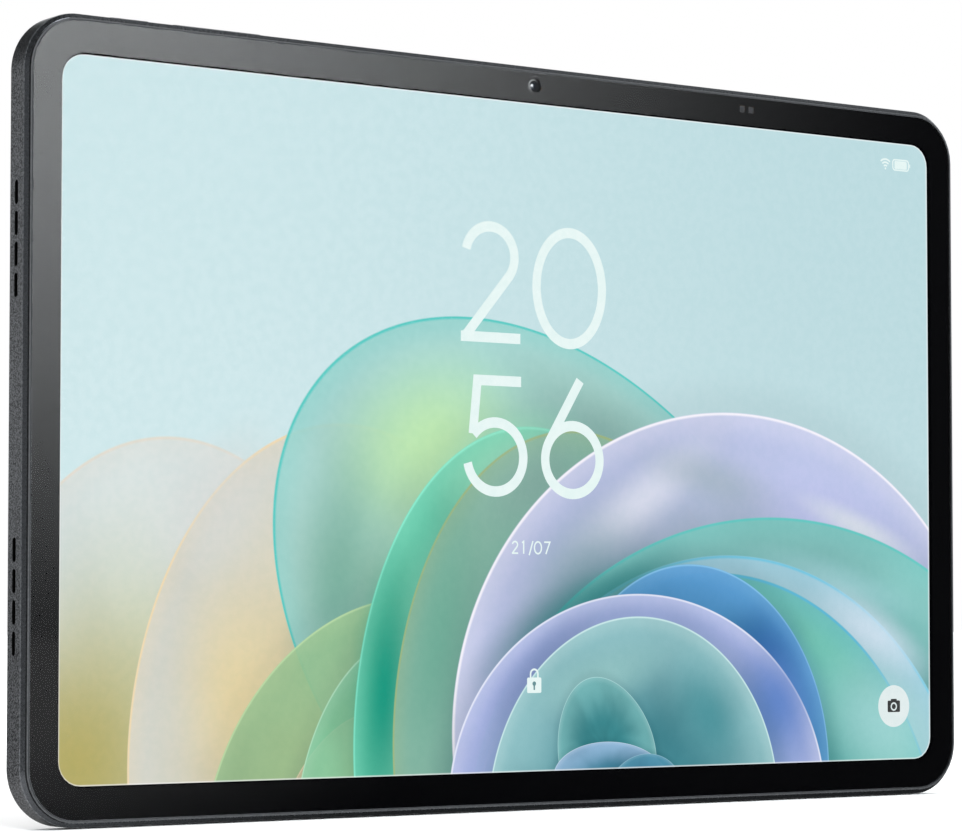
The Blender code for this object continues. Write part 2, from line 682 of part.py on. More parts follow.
def oval(x_range, size):
    """A block along X with round ends, centred on the charging socket."""
    length, thickness = size
    low = (x_range[0], SOCKET_DEPTH - thickness / 2, -length / 2)
    high = (x_range[1], SOCKET_DEPTH + thickness / 2, length / 2)
    return block(low, high, thickness * 0.49, X, 4)


def make_card_tray():
    half = TRAY_CAP_LENGTH / 2
    thick = TRAY_CAP_THICKNESS / 2
    cap = block((TRAY_CAP_X[0], SOCKET_DEPTH - thick, TRAY_HEIGHT - half),
                (TRAY_CAP_X[1], SOCKET_DEPTH + thick, TRAY_HEIGHT + half), thick * 0.95, X, 4)
    tray = part("card_tray", cap, "anodised", (BODY_WIDTH / 2, SOCKET_DEPTH, TRAY_HEIGHT))
    bottom, top = TRAY_PLATE_HEIGHTS
    front, rear = TRAY_PLATE_DEPTHS
    join(tray, block((TRAY_PLATE_X[0], front, bottom), (TRAY_PLATE_X[1], rear, top)))
    holes = block((CARD_POCKET_X[0], 3.0, bottom + CARD_POCKET_EDGE),
                  (CARD_POCKET_X[1], 5.0, top - CARD_POCKET_EDGE))
    add_rod(holes, (124.0, SOCKET_DEPTH, EJECT_HEIGHT), (128.0, SOCKET_DEPTH, EJECT_HEIGHT),
            PIN_HOLE_RADIUS)
    cut(tray, holes)
    front, rear = CARD_SOCKET_DEPTHS
    socket = part("card_socket", block((CARD_SOCKET_X[0], front, bottom - 0.5),
                                       (CARD_SOCKET_X[1], rear, top + 0.5)), "steel")
    front, rear = CARD_SOCKET_BORE
    cut(socket, block((108.0, front, bottom - 0.2), (125.0, rear, top + 0.2)))

    rod = add_rod(bmesh.new(), (EJECT_ROD_X[0], SOCKET_DEPTH, EJECT_HEIGHT),
                  (EJECT_ROD_X[1], SOCKET_DEPTH, EJECT_HEIGHT), EJECT_ROD_RADIUS)
    part("eject_rod", rod, "steel")
    pivot = Vector(LEVER_PIVOT)
    reach = Vector(LEVER_HALF)
    lever = part("eject_lever", block(pivot - reach, pivot + reach, 0.5, DEPTH, 2), "steel",
                 LEVER_PIVOT)
    x, depth, height = LEVER_PIVOT
    cut(lever, add_rod(bmesh.new(), (x, depth - 1.0, height), (x, depth + 1.0, height),
                       LEVER_BORE_RADIUS))


# ---------------------------------------------------------------- cameras and sensors

def make_front_camera():
    x, height = (0.0, FRONT_CAMERA_HEIGHT)
    module = part("front_camera_module", block((-2.6, 1.6, 75.8), (2.6, 4.1, 80.2), 0.3,
                                               DEPTH, 2), "black_plastic")
    join(module, add_rod(bmesh.new(), (x, 0.86, height), (x, 1.8, height), 2.0,
                         ROUND_HOLE))
    cut(module, add_rod(bmesh.new(), (x, 0.3, height), (x, 1.5, height), 1.1,
                        ROUND_HOLE))
    ring = [(1.15, 0.12), (2.0, 0.12), (2.1, 0.0), (1.15, 0.0)]
    turned("front_camera_ring", "black_plastic", ring, (x, 0.8, height), (0, -1, 0), True)
    dome = [(0.0, 0.42), (0.45, 0.36), (0.8, 0.2), (0.95, 0.0), (0.0, 0.0)]
    turned("front_camera_lens", "lens", dome, (x, 1.4, height), (0, -1, 0))

    half = SENSOR_HALF
    for name, x in zip(("light_sensor", "proximity_sensor"), SENSOR_X):
        part(name, block((x - half, 0.76, SENSOR_HEIGHT - half),
                         (x + half, 1.9, SENSOR_HEIGHT + half), 0.1, DEPTH, 1), "lens")
    flex = part("sensor_flex", block((57.0, 2.0, 76.0), (66.0, 4.45, 80.0)), "flex")
    join(flex, block((-3.0, 4.4, 75.9), (90.0, 4.5, 78.9)))
    join(flex, block((84.0, 4.4, 56.0), (90.0, 4.5, 76.5)))


def make_rear_camera():
    x, height = REAR_CAMERA
    half = REAR_CAMERA_SIZE / 2
    rear = (0, 1, 0)
    rim = CAMERA_RISE
    trim = [(4.45, rim), (8.2, rim), (8.5, rim - 0.3), (8.5, 0.05), (5.1, 0.05),
            (5.1, -0.7), (3.9, -0.7), (3.9, 0.25), (4.45, 0.25)]
    turned("rear_camera_trim", "anodised", trim, (x, REAR_FACE, height), rear, True, 32)
    window = [(0.0, 0.7), (4.2, 0.7), (4.35, 0.6), (4.35, 0.3), (0.0, 0.3)]
    turned("rear_camera_window", "black_glass", window, (x, REAR_FACE, height), rear, steps=28)
    module = part("rear_camera_module", block((x - half, 3.2, height - half),
                                              (x + half, 6.2, height + half), 0.5, DEPTH, 2),
                  "black_plastic")
    join(module, block((92.0, 3.3, 64.0), (x - half + 0.5, 3.4, 69.5)))
    join(module, block((92.0, 3.3, 57.0), (97.0, 3.4, 64.5)))
    cut(module, add_rod(bmesh.new(), (x, 4.0, height), (x, 7.0, height), 3.5,
                        ROUND_HOLE))
    barrel = [(0.0, 1.4), (1.3, 1.4), (1.6, 2.7), (2.9, 2.7), (3.2, 2.4), (3.2, 0.0),
              (0.0, 0.0)]
    turned("rear_camera_barrel", "black_plastic", barrel, (x, 4.3, height), rear)
    lens = [(0.0, 0.6), (0.6, 0.5), (1.0, 0.2), (1.15, 0.0), (0.0, 0.0)]
    turned("rear_camera_lens", "lens", lens, (x, 5.8, height), rear)


clear_scene()
parts = collection("tablet_computer")
cutters = collection("cutters")
make_housing()
make_glass()
make_display()
make_battery()
make_main_board()
make_antennas()
make_speakers()
make_keys()
make_charging_socket()
make_card_tray()
make_front_camera()
make_rear_camera()
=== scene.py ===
import math

import bmesh
import bpy
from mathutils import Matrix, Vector

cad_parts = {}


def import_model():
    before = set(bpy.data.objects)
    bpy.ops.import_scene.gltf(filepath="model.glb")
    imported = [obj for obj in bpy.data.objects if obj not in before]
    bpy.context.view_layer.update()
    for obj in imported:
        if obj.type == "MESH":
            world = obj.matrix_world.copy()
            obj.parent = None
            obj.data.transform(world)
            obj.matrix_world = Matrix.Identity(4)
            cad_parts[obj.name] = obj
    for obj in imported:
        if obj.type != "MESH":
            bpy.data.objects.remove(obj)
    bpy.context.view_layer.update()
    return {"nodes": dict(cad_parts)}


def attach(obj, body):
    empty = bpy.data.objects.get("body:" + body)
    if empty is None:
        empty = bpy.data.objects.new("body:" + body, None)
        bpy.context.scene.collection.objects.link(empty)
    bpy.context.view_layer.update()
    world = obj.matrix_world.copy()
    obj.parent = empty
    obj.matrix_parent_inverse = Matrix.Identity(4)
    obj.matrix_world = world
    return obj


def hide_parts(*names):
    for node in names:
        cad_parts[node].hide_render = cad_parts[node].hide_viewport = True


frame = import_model()

# ---------------------------------------------------------------- sizes, in millimetres

MM = 0.001
WELD = 1e-7
BODY_WIDTH = 253.6
BODY_HEIGHT = 164.7
BODY_CORNER = 12.1
HALF_WIDTH = BODY_WIDTH / 2
HALF_HEIGHT = BODY_HEIGHT / 2
FRONT_DEPTH = 4.15
SCREEN = (236.9, 148.1, 5.1)

RIM_DEPTH = 0.5
RIM_CHAMFER = 0.85
POCKET = (0.88, 0.86)
CAVITY = (2.0, 6.6)
REAR_FACE = 7.4
REAR_FILLET = 0.8
CORNER_STEPS = 28
SKIN_GAP = 0.002
SMOOTH_ANGLE = 32.0
NODE_SMOOTH_ANGLE = 25.0

SLOT_LENGTH = 4.72
SLOT_WIDTH = 1.2
SLOT_DEPTH = 4.15
SLOT_HEIGHTS = (26.6, 32.85, 39.1, 45.35)
KEY_DEPTH = 3.6
KEY_THICKNESS = 2.3
KEY_TOP = HALF_HEIGHT + 0.35 - SKIN_GAP
KEY_ROUND_OVER = 0.3
KEY_FOOT = (0.8, 0.45)
POWER_KEY = (-101.7, 9.9)
POWER_FOOT_TOP = 80.15
ROCKER_KEY = (-80.7, 22.2)
ROCKER_FOOT_TOP = 79.9
OPENING_CLEARANCE = 0.3
OPENING_BEVEL = 0.1
SOCKET_DEPTH = 3.9
USB_OUTER = (9.0, 3.2)
CONTACT_COUNT = 12
CONTACT_PITCH = 0.5
CONTACT_HALF = (0.12, 0.012)
CONTACT_DEPTHS = (3.545, 4.255)
CONTACT_ENDS = (122.0, 125.1)
TRAY_CAP = (14.4, 2.0)
TRAY_HEIGHT = -14.8
MICROPHONE_X = 30.0
MICROPHONE_HOLE = 1.0
REAR_CAMERA = (109.0, 66.0)
REAR_CAMERA_HOLE = 5.3
REAR_CAMERA_RISE = 0.9 - SKIN_GAP
FRONT_CAMERA_HEIGHT = 78.0
FRONT_COLLAR_RADIUS = 1.56
FRONT_FUNNEL_RADIUS = 1.16

CAMERA_PLACE = (-0.44145, -0.60193, 0.04260)
CAMERA_AZIMUTH = -35.504
CAMERA_ELEVATION = -2.745
CAMERA_LENS = 125.8
CAMERA_SHIFT = 0.0358


def world(x, depth, height):
    """A point of the tablet: across, back from the glass, and up from the middle."""
    return Vector((x, depth - FRONT_DEPTH, height + HALF_HEIGHT)) * MM


def on_front(u, v, w):
    return world(u, w, v)


def on_side(u, v, w):
    return world(w, v, u)


def on_top(u, v, w):
    return world(u, v, w)


# ---------------------------------------------------------------- node helpers

def tone(code):
    """A linear colour from a six-digit sRGB code."""
    channels = []
    for start in (0, 2, 4):
        value = int(code[start:start + 2], 16) / 255
        low = value / 12.92
        high = ((value + 0.055) / 1.055) ** 2.4
        channels.append(low if value <= 0.04045 else high)
    return (*channels, 1.0)


class Graph:
    """Short calls for building a node tree."""

    def __init__(self, tree):
        self.tree = tree

    def node(self, kind, inputs=None, out=0, **settings):
        node = self.tree.nodes.new(kind)
        for key, value in settings.items():
            setattr(node, key, value)
        for key, value in (inputs or {}).items():
            if isinstance(value, bpy.types.NodeSocket):
                self.tree.links.new(value, node.inputs[key])
            else:
                node.inputs[key].default_value = value
        return node.outputs[out] if node.outputs else None

    def math(self, operation, first, second=0.0, clamp=False):
        return self.node('ShaderNodeMath', {0: first, 1: second},
                         operation=operation, use_clamp=clamp)

    def scale_add(self, value, scale, offset):
        return self.node('ShaderNodeMath', {0: value, 1: scale, 2: offset},
                         operation='MULTIPLY_ADD')

    def smooth(self, value, start, end, low=0.0, high=1.0):
        return self.node('ShaderNodeMapRange', {0: value, 1: start, 2: end, 3: low, 4: high},
                         interpolation_type='SMOOTHSTEP')

    def mix(self, amount, first, second, blend='MIX'):
        return self.node('ShaderNodeMix', {0: amount, 6: first, 7: second}, out=2,
                         data_type='RGBA', blend_type=blend)

    def split(self, vector):
        node = self.tree.nodes.new('ShaderNodeSeparateXYZ')
        self.tree.links.new(vector, node.inputs[0])
        return node.outputs

    def join(self, x, y, z=0.0):
        return self.node('ShaderNodeCombineXYZ', {0: x, 1: y, 2: z})

    def group(self, tree, inputs):
        return self.node('ShaderNodeGroup', inputs, node_tree=tree)


def blank_material(name):
    material = bpy.data.materials.new(name)
    material.use_nodes = True
    material.node_tree.nodes.clear()
    return material, Graph(material.node_tree)


def finish_material(graph, shader):
    graph.node('ShaderNodeOutputMaterial', {0: shader})


def object_point(graph):
    return graph.node('ShaderNodeTexCoord', out='Object')


def surface(name, dark, light, roughness=(0.4, 0.6), metallic=0.0, grain=1.0, bump=0.0,
            stretch=(1.0, 1.0, 1.0), detail=3.0, pattern='noise', contrast=(0.35, 0.65),
            **sockets):
    """A finish whose colour, roughness and bump come from one pattern of the given grain."""
    material, graph = blank_material(name)
    scale = [1.0 / (grain * MM * s) for s in stretch]
    point = graph.node('ShaderNodeMapping', {0: object_point(graph), 3: scale})
    if pattern == 'noise':
        value = graph.node('ShaderNodeTexNoise', {'Vector': point, 'Scale': 1.0,
                                                  'Detail': detail})
    elif pattern == 'dots':
        value = graph.node('ShaderNodeTexVoronoi', {'Vector': point, 'Scale': 1.0,
                                                    'Randomness': 0.0})
    elif pattern == 'cells':
        value = graph.node('ShaderNodeTexVoronoi', {'Vector': point, 'Scale': 1.0})
    else:
        parts = [graph.math('SINE', axis) for axis in graph.split(point)]
        value = graph.scale_add(graph.math('MULTIPLY', parts[0], parts[2]), 0.5, 0.5)
    shade = graph.smooth(value, contrast[0], contrast[1])
    colour = graph.mix(shade, tone(dark), tone(light))
    rough = graph.smooth(value, contrast[0], contrast[1], roughness[0], roughness[1])
    inputs = {'Base Color': colour, 'Roughness': rough, 'Metallic': metallic}
    if bump:
        inputs['Normal'] = graph.node('ShaderNodeBump', {'Height': value, 'Distance': bump * MM,
                                                         'Strength': 1.0})
    inputs.update(sockets)
    finish_material(graph, graph.node('ShaderNodeBsdfPrincipled', inputs))
    return material


def rounded_distance_group():
    """Distance in millimetres outside a rounded rectangle centred on the screen."""
    tree = bpy.data.node_groups.new("rounded_distance", 'ShaderNodeTree')
    for name, kind in (("Point", 'NodeSocketVector'), ("Half", 'NodeSocketVector'),
                       ("Corner", 'NodeSocketFloat')):
        tree.interface.new_socket(name, in_out='INPUT', socket_type=kind)
    tree.interface.new_socket("Distance", in_out='OUTPUT', socket_type='NodeSocketFloat')
    graph = Graph(tree)
    source = tree.nodes.new('NodeGroupInput').outputs
    x, y, _ = graph.split(source["Point"])
    half_x, half_y, _ = graph.split(source["Half"])
    corner = source["Corner"]
    over = []
    for value, half in ((x, half_x), (y, half_y)):
        beyond = graph.math('SUBTRACT', graph.math('ABSOLUTE', value), half)
        over.append(graph.math('ADD', beyond, corner))
    outside = [graph.math('MAXIMUM', value, 0.0) for value in over]
    inside = graph.math('MINIMUM', graph.math('MAXIMUM', *over), 0.0)
    squares = [graph.math('MULTIPLY', value, value) for value in outside]
    length = graph.math('SQRT', graph.math('ADD', *squares))
    total = graph.math('SUBTRACT', graph.math('ADD', length, inside), corner)
    graph.node('NodeGroupOutput', {0: total})
    return tree


def screen_point(graph):
    """Millimetres across and up from the middle of the screen."""
    x, _, z = graph.split(object_point(graph))
    across = graph.math('MULTIPLY', x, 1.0 / MM)
    up = graph.math('MULTIPLY', graph.math('SUBTRACT', z, HALF_HEIGHT * MM), 1.0 / MM)
    return graph.join(across, up)


ROUNDED = rounded_distance_group()


def screen_distance(graph, point):
    half = (SCREEN[0] / 2, SCREEN[1] / 2, 0.0)
    return graph.group(ROUNDED, {"Point": point, "Half": half, "Corner": SCREEN[2]})


# ---------------------------------------------------------------- the picture on the screen

def petal_group():
    """One translucent petal laid over the colour behind it."""
    tree = bpy.data.node_groups.new("petal", 'ShaderNodeTree')
    sockets = (("Point", 'Vector'), ("Behind", 'Color'), ("Centre", 'Vector'), ("Turn", 'Vector'),
               ("Size", 'Vector'), ("Bend", 'Float'), ("Taper", 'Float'), ("Edge", 'Color'),
               ("Heart", 'Color'), ("Rim", 'Color'), ("Rim strength", 'Float'),
               ("Shade", 'Float'), ("Folds", 'Float'), ("Cover", 'Float'))
    for name, kind in sockets:
        tree.interface.new_socket(name, in_out='INPUT', socket_type='NodeSocket' + kind)
    tree.interface.new_socket("Colour", in_out='OUTPUT', socket_type='NodeSocketColor')
    graph = Graph(tree)
    source = tree.nodes.new('NodeGroupInput').outputs
    local = graph.node('ShaderNodeMapping', {0: source["Point"], 1: source["Centre"],
                                             2: source["Turn"], 3: source["Size"]},
                       vector_type='TEXTURE')
    u, v, _ = graph.split(local)
    bow = graph.math('MULTIPLY', source["Bend"], graph.math('MULTIPLY', v, v))
    width = graph.math('ADD', graph.math('MULTIPLY', source["Taper"], v), 1.0)
    u = graph.math('DIVIDE', graph.math('SUBTRACT', u, bow), width)
    flat = graph.join(u, v)
    radius = graph.node('ShaderNodeVectorMath', {0: flat}, out=1, operation='LENGTH')
    heading = graph.node('ShaderNodeVectorMath', {0: flat}, operation='NORMALIZE')
    fold_x, fold_y, _ = graph.split(heading)
    fold_point = graph.join(fold_x, fold_y, graph.math('MULTIPLY', radius, 0.9))
    seeded = graph.node('ShaderNodeVectorMath', {0: fold_point, 1: source["Centre"]},
                        operation='ADD')
    folds = graph.node('ShaderNodeTexNoise', {'Vector': seeded, 'Scale': 1.7, 'Detail': 1.5})
    lift = graph.smooth(folds, 0.3, 0.7, -1.0, 1.0)
    lift = graph.math('MULTIPLY', lift, source["Folds"])
    reach = graph.math('ADD', radius, graph.math('MULTIPLY', lift, 0.5))
    silk = graph.mix(graph.smooth(reach, 0.35, 1.0), source["Heart"], source["Edge"])
    bright = graph.math('ADD', lift, 1.0)
    silk = graph.mix(1.0, silk, graph.join(bright, bright, bright), 'MULTIPLY')
    shadow = graph.smooth(radius, 1.0, 1.16, 1.0, 0.0)
    shadow = graph.math('MULTIPLY', shadow, source["Shade"])
    behind = graph.mix(shadow, source["Behind"], (0.0, 0.06, 0.09, 1.0))
    inside = graph.smooth(radius, 1.004, 0.998)
    body = graph.mix(graph.math('MULTIPLY', inside, source["Cover"]), behind, silk)
    line = graph.smooth(radius, 0.989, 0.998, 0.0, 0.78)
    halo = graph.smooth(radius, 0.9, 1.0, 0.0, 0.22)
    rim = graph.math('MULTIPLY', graph.math('ADD', line, halo), inside)
    rim = graph.math('MULTIPLY', rim, source["Rim strength"])
    graph.node('NodeGroupOutput', {0: graph.mix(rim, body, source["Rim"])})
    return tree


def glow_group():
    """A soft oval of colour laid over what is behind it."""
    tree = bpy.data.node_groups.new("glow", 'ShaderNodeTree')
    sockets = (("Point", 'Vector'), ("Behind", 'Color'), ("Centre", 'Vector'), ("Turn", 'Vector'),
               ("Size", 'Vector'), ("Tint", 'Color'), ("Amount", 'Float'))
    for name, kind in sockets:
        tree.interface.new_socket(name, in_out='INPUT', socket_type='NodeSocket' + kind)
    tree.interface.new_socket("Colour", in_out='OUTPUT', socket_type='NodeSocketColor')
    graph = Graph(tree)
    source = tree.nodes.new('NodeGroupInput').outputs
    local = graph.node('ShaderNodeMapping', {0: source["Point"], 1: source["Centre"],
                                             2: source["Turn"], 3: source["Size"]},
                       vector_type='TEXTURE')
    radius = graph.node('ShaderNodeVectorMath', {0: local}, out=1, operation='LENGTH')
    amount = graph.math('MULTIPLY', graph.smooth(radius, 1.0, 0.0), source["Amount"])
    graph.node('NodeGroupOutput', {0: graph.mix(amount, source["Behind"], source["Tint"])})
    return tree


# From back to front. A petal: centre, size, turn, bend, taper, edge, heart, rim, rim strength,
# shade, folds, cover. A glow: centre, size, turn, colour, amount.
LAYERS = (
    ((-90, -78), (52, 75), 4, 0.0, 0.0, "dbe2e0", "c9caa4", "e9d9c4", 0.6, 0.0, 0.05, 0.85),
    ((-116, -70), (40, 46), 20, "b3a75c", 0.9),
    ((-84, -22), (26, 22), 0, "dfe4e6", 0.6),
    ((-50, -71), (52.5, 72), 0, 0.0, 0.0, "d3d4cc", "dccfa8", "f6dcae", 0.9, 0.0, 0.05, 0.95),
    ((-76, -58), (18, 34), 10, "e9d6a2", 0.7),
    ((-80, -16), (14, 24), -30, "d9dad6", 0.6),
    ((9, -45), (86, 59), -38, 0.0, 0.0, "a9d9d4", "94c9a6", "46cbc4", 0.9, 0.0, 0.07, 0.9),
    ((-28, -2), (32, 24), 20, "c3ecb2", 0.9),
    ((-52, -34), (15, 38), -6, "6fa896", 0.75),
    ((14, 6), (34, 12), -24, "93b9b2", 0.7),
    ((-38, -92), (47, 56), 0, 0.1, 0.0, "8fb88b", "9dbb86", "c9e6b0", 0.7, 0.1, 0.10, 0.9),
    ((-46, -100), (24, 40), -4, 0.1, 0.0, "c2b893", "b3c08c", "ead9b8", 0.7, 0.1, 0.08, 0.85),
    ((-30, -96), (32, 52), 10, 0.1, 0.0, "7fc49c", "8fbf8c", "c8f0d2", 0.6, 0.1, 0.10, 0.85),
    ((2, -72), (49.5, 74), 4, 0.0, 0.0, "66c4a6", "8ed0b0", "92f2d6", 0.9, 0.14, 0.10, 0.96),
    ((-40, -56), (10, 38), -4, "179c82", 0.95),
    ((-8, -6), (26, 12), 24, "a4e8c6", 0.8),
    ((13, -70), (50.5, 71.5), 3, 0.0, 0.0, "8dbba8", "6c9f93", "adb96c", 0.7, 0.12, 0.08, 0.97),
    ((-26, -44), (11, 40), -12, "6fb09a", 0.7),
    ((0, -10), (24, 14), 30, "86a8a0", 0.7),
    ((58, -66), (80, 73), -3, 0.0, 0.0, "bcc3e6", "a5b5c4", "fbf7ff", 1.0, 0.10, 0.06, 0.96),
    ((88, -18), (40, 16), -20, "c6caf4", 0.9),
    ((30, -14), (36, 9), 34, "dcdfee", 0.85),
    ((14, -34), (20, 26), -40, "7c9ea8", 0.85),
    ((50, -8), (26, 8), -12, "a6b6c2", 0.7),
    ((96, -19), (26, 5), -20, "e6ecf2", 0.8),
    ((70, -89), (88, 72), 0, 0.0, 0.0, "87c6c0", "3a8a8c", "52ccc6", 0.7, 0.12, 0.10, 0.96),
    ((20, -36), (30, 9), 26, "3f8f90", 0.8),
    ((88, -32), (34, 7), -14, "a8d8dc", 0.8),
    ((56, -104), (77, 78), -3, 0.0, 0.0, "b6d9e6", "86bcc4", "74cdea", 0.9, 0.10, 0.08, 0.92),
    ((100, -44), (26, 9), -28, "d6e8f6", 0.9),
    ((30, -34), (26, 8), 10, "4c9c98", 0.9),
    ((51, -108), (72, 78), -4, 0.0, 0.0, "71c0b0", "4a9fa2", "5ab6e0", 0.8, 0.12, 0.10, 0.96),
    ((104, -66), (30, 20), -30, "a6dada", 0.8),
    ((4, -46), (26, 14), 30, "2f8384", 0.8),
    ((46, -74), (40, 46), 8, 0.0, 0.0, "5795ca", "2f6ea6", "90ccf2", 0.8, 0.18, 0.08, 0.96),
    ((66, -50), (16, 16), -40, "2b60a6", 0.8),
    ((31, -82), (54, 47), -6, 0.0, 0.0, "a9b4e2", "568bb0", "f0f2ff", 0.9, 0.16, 0.06, 0.95),
    ((70, -60), (18, 20), 30, "5a82c8", 0.85),
    ((2, -52), (24, 9), 40, "8796c8", 0.8),
    ((29, -84), (41.5, 44), -3, 0.0, 0.0, "8cbcc0", "458892", "d6f2f2", 0.9, 0.2, 0.08, 0.97),
    ((18, -54), (26, 9), 16, "9ccac8", 0.7),
    ((50, -62), (12, 20), 34, "3f8f98", 0.7),
    ((20, -70), (13.5, 17), 20, 0.0, -0.1, "6fadae", "3c868c", "bfe8e8", 0.8, 0.14, 0.10, 0.95),
    ((22, -78), (17, 10), -10, 0.1, 0.0, "8fb4d4", "3f7d96", "dceafa", 0.8, 0.16, 0.08, 0.95),
    ((31, -80), (11, 9), 10, 0.0, 0.0, "4f8fa8", "2f6f8c", "b4dcec", 0.7, 0.16, 0.08, 0.95),
)


def picture_material():
    material, graph = blank_material("screen_picture")
    point = screen_point(graph)
    across, up, _ = graph.split(point)
    sky = graph.mix(graph.smooth(across, -118.0, 118.0), tone("d3eaed"), tone("c0dde2"))
    colour = graph.mix(graph.smooth(up, -30.0, 74.0, 0.0, 0.2), sky, tone("bcdde2"))
    petal = petal_group()
    glow = glow_group()
    for centre, size, turn, *rest in LAYERS:
        inputs = {"Point": point, "Behind": colour, "Centre": (*centre, 0.0),
                  "Turn": (0.0, 0.0, math.radians(turn)), "Size": (*size, 1.0)}
        if len(rest) == 2:
            inputs.update({"Tint": tone(rest[0]), "Amount": rest[1]})
            colour = graph.group(glow, inputs)
            continue
        bend, taper, edge, heart, rim, strength, shade, folds, cover = rest
        inputs.update({"Bend": bend, "Taper": taper, "Edge": tone(edge), "Heart": tone(heart),
                       "Rim": tone(rim), "Rim strength": strength, "Shade": shade,
                       "Folds": folds, "Cover": cover})
        colour = graph.group(petal, inputs)
    border = graph.smooth(screen_distance(graph, point), -0.4, -0.12, 0.0, 0.55)
    colour = graph.mix(border, colour, (1.0, 1.0, 1.0, 1.0))
    light = graph.node('ShaderNodeEmission', {0: colour, 1: 1.0})
    finish_material(graph, light)
    material.cycles.emission_sampling = 'NONE'
    return material


def glow_material(name, code, strength=1.0):
    material, graph = blank_material(name)
    point = graph.node('ShaderNodeMapping', {0: object_point(graph), 3: (250.0, 250.0, 250.0)})
    value = graph.node('ShaderNodeTexNoise', {'Vector': point, 'Scale': 1.0})
    colour = graph.mix(graph.smooth(value, 0.3, 0.7, 0.0, 0.06), tone(code), (1, 1, 1, 1))
    finish_material(graph, graph.node('ShaderNodeEmission', {0: colour, 1: strength}))
    material.cycles.emission_sampling = 'NONE'
    return material


def glass_material():
    """Clear glass that mirrors the room over the border, and hardly over screen and camera."""
    material, graph = blank_material("glass_front")
    point = screen_point(graph)
    border = graph.smooth(screen_distance(graph, point), 0.1, 0.45, 0.06, 1.0)
    smudge = graph.node('ShaderNodeTexNoise', {'Vector': point, 'Scale': 0.05, 'Detail': 4.0})
    border = graph.math('MULTIPLY', border, graph.smooth(smudge, 0.3, 0.7, 0.97, 1.03))
    away = graph.node('ShaderNodeVectorMath', {0: point, 1: (0.0, FRONT_CAMERA_HEIGHT, 0.0)},
                      out=1, operation='DISTANCE')
    around = graph.smooth(away, FRONT_COLLAR_RADIUS - 0.06, FRONT_COLLAR_RADIUS + 0.08, 0.2, 1.0)
    border = graph.math('MULTIPLY', border, around)
    mirror = graph.node('ShaderNodeFresnel', {0: 1.31})
    amount = graph.math('MULTIPLY', border, mirror, clamp=True)
    clear = graph.node('ShaderNodeBsdfTransparent', {0: (1.0, 1.0, 1.0, 1.0)})
    gloss = graph.node('ShaderNodeBsdfGlossy', {'Color': (1.0, 1.0, 1.0, 1.0),
                                                'Roughness': 0.03})
    finish_material(graph, graph.node('ShaderNodeMixShader', {0: amount, 1: clear, 2: gloss}))
    return material


def collar_painted_light_material():
    """The front camera's surround, with painted light: paler at its upper left, darker at its
    lower right.
    """
    material, graph = blank_material("camera_collar")
    x, y, _ = graph.split(screen_point(graph))
    up = graph.math('SUBTRACT', y, FRONT_CAMERA_HEIGHT)
    painted_light_side = graph.math('ADD', graph.math('MULTIPLY', x, -0.85), graph.math('MULTIPLY', up, 0.53))
    grain = graph.node('ShaderNodeTexNoise', {'Vector': screen_point(graph), 'Scale': 4.0})
    painted_light_side = graph.math('ADD', painted_light_side, graph.smooth(grain, 0.3, 0.7, -0.1, 0.1))
    # Painted light: the grey goes from lit at the upper left to shaded at the lower right.
    level = graph.smooth(painted_light_side, -0.7, 1.1, 0.002, 0.13)
    finish_material(graph, graph.node('ShaderNodeBsdfDiffuse',
                                      {0: graph.join(level, level, level)}))
    return material


def clear_material(name, tint, roughness=0.08, amount=0.12, grain=2.0, gloss=True):
    """Thin clear glass: mostly see-through, with a soft gloss unless that is left off."""
    material, graph = blank_material(name)
    point = graph.node('ShaderNodeMapping', {0: object_point(graph),
                                             3: [1.0 / (grain * MM)] * 3})
    value = graph.node('ShaderNodeTexNoise', {'Vector': point, 'Scale': 1.0})
    colour = graph.mix(graph.smooth(value, 0.3, 0.7), tone(tint), (1.0, 1.0, 1.0, 1.0))
    clear = graph.node('ShaderNodeBsdfTransparent', {0: colour})
    if not gloss:
        finish_material(graph, clear)
        return material
    gloss = graph.node('ShaderNodeBsdfGlossy', {'Color': (1.0, 1.0, 1.0, 1.0),
                                                'Roughness': roughness})
    weight = graph.node('ShaderNodeLayerWeight', {0: amount}, out=0)
    finish_material(graph, graph.node('ShaderNodeMixShader', {0: weight, 1: clear, 2: gloss}))
    return material


# ---------------------------------------------------------------- mesh helpers

def ring(half_u, half_v, corner, steps):
    """Points round a rounded rectangle, counter-clockwise."""
    points = []
    for quarter, (side_u, side_v) in enumerate(((1, 1), (-1, 1), (-1, -1), (1, -1))):
        for step in range(steps + 1):
            angle = math.radians(90.0 * (quarter + step / steps))
            points.append((side_u * (half_u - corner) + corner * math.cos(angle),
                           side_v * (half_v - corner) + corner * math.sin(angle)))
    return points


def loft(bm, sections, place, centre=(0.0, 0.0), steps=8, closed=False, material=0):
    """A skin through sections of (half width, half height, corner, position)."""
    rows = []
    for half_u, half_v, corner, along in sections:
        rows.append([bm.verts.new(place(u + centre[0], v + centre[1], along))
                     for u, v in ring(half_u, half_v, corner, steps)])
    pairs = list(zip(rows, rows[1:]))
    if closed:
        pairs.append((rows[-1], rows[0]))
    faces = []
    for low, high in pairs:
        for index in range(len(low)):
            after = (index + 1) % len(low)
            faces.append(bm.faces.new((low[index], low[after], high[after], high[index])))
    if not closed:
        faces.append(bm.faces.new(list(reversed(rows[0]))))
        faces.append(bm.faces.new(rows[-1]))
    for face in faces:
        face.material_index = material
    return bm


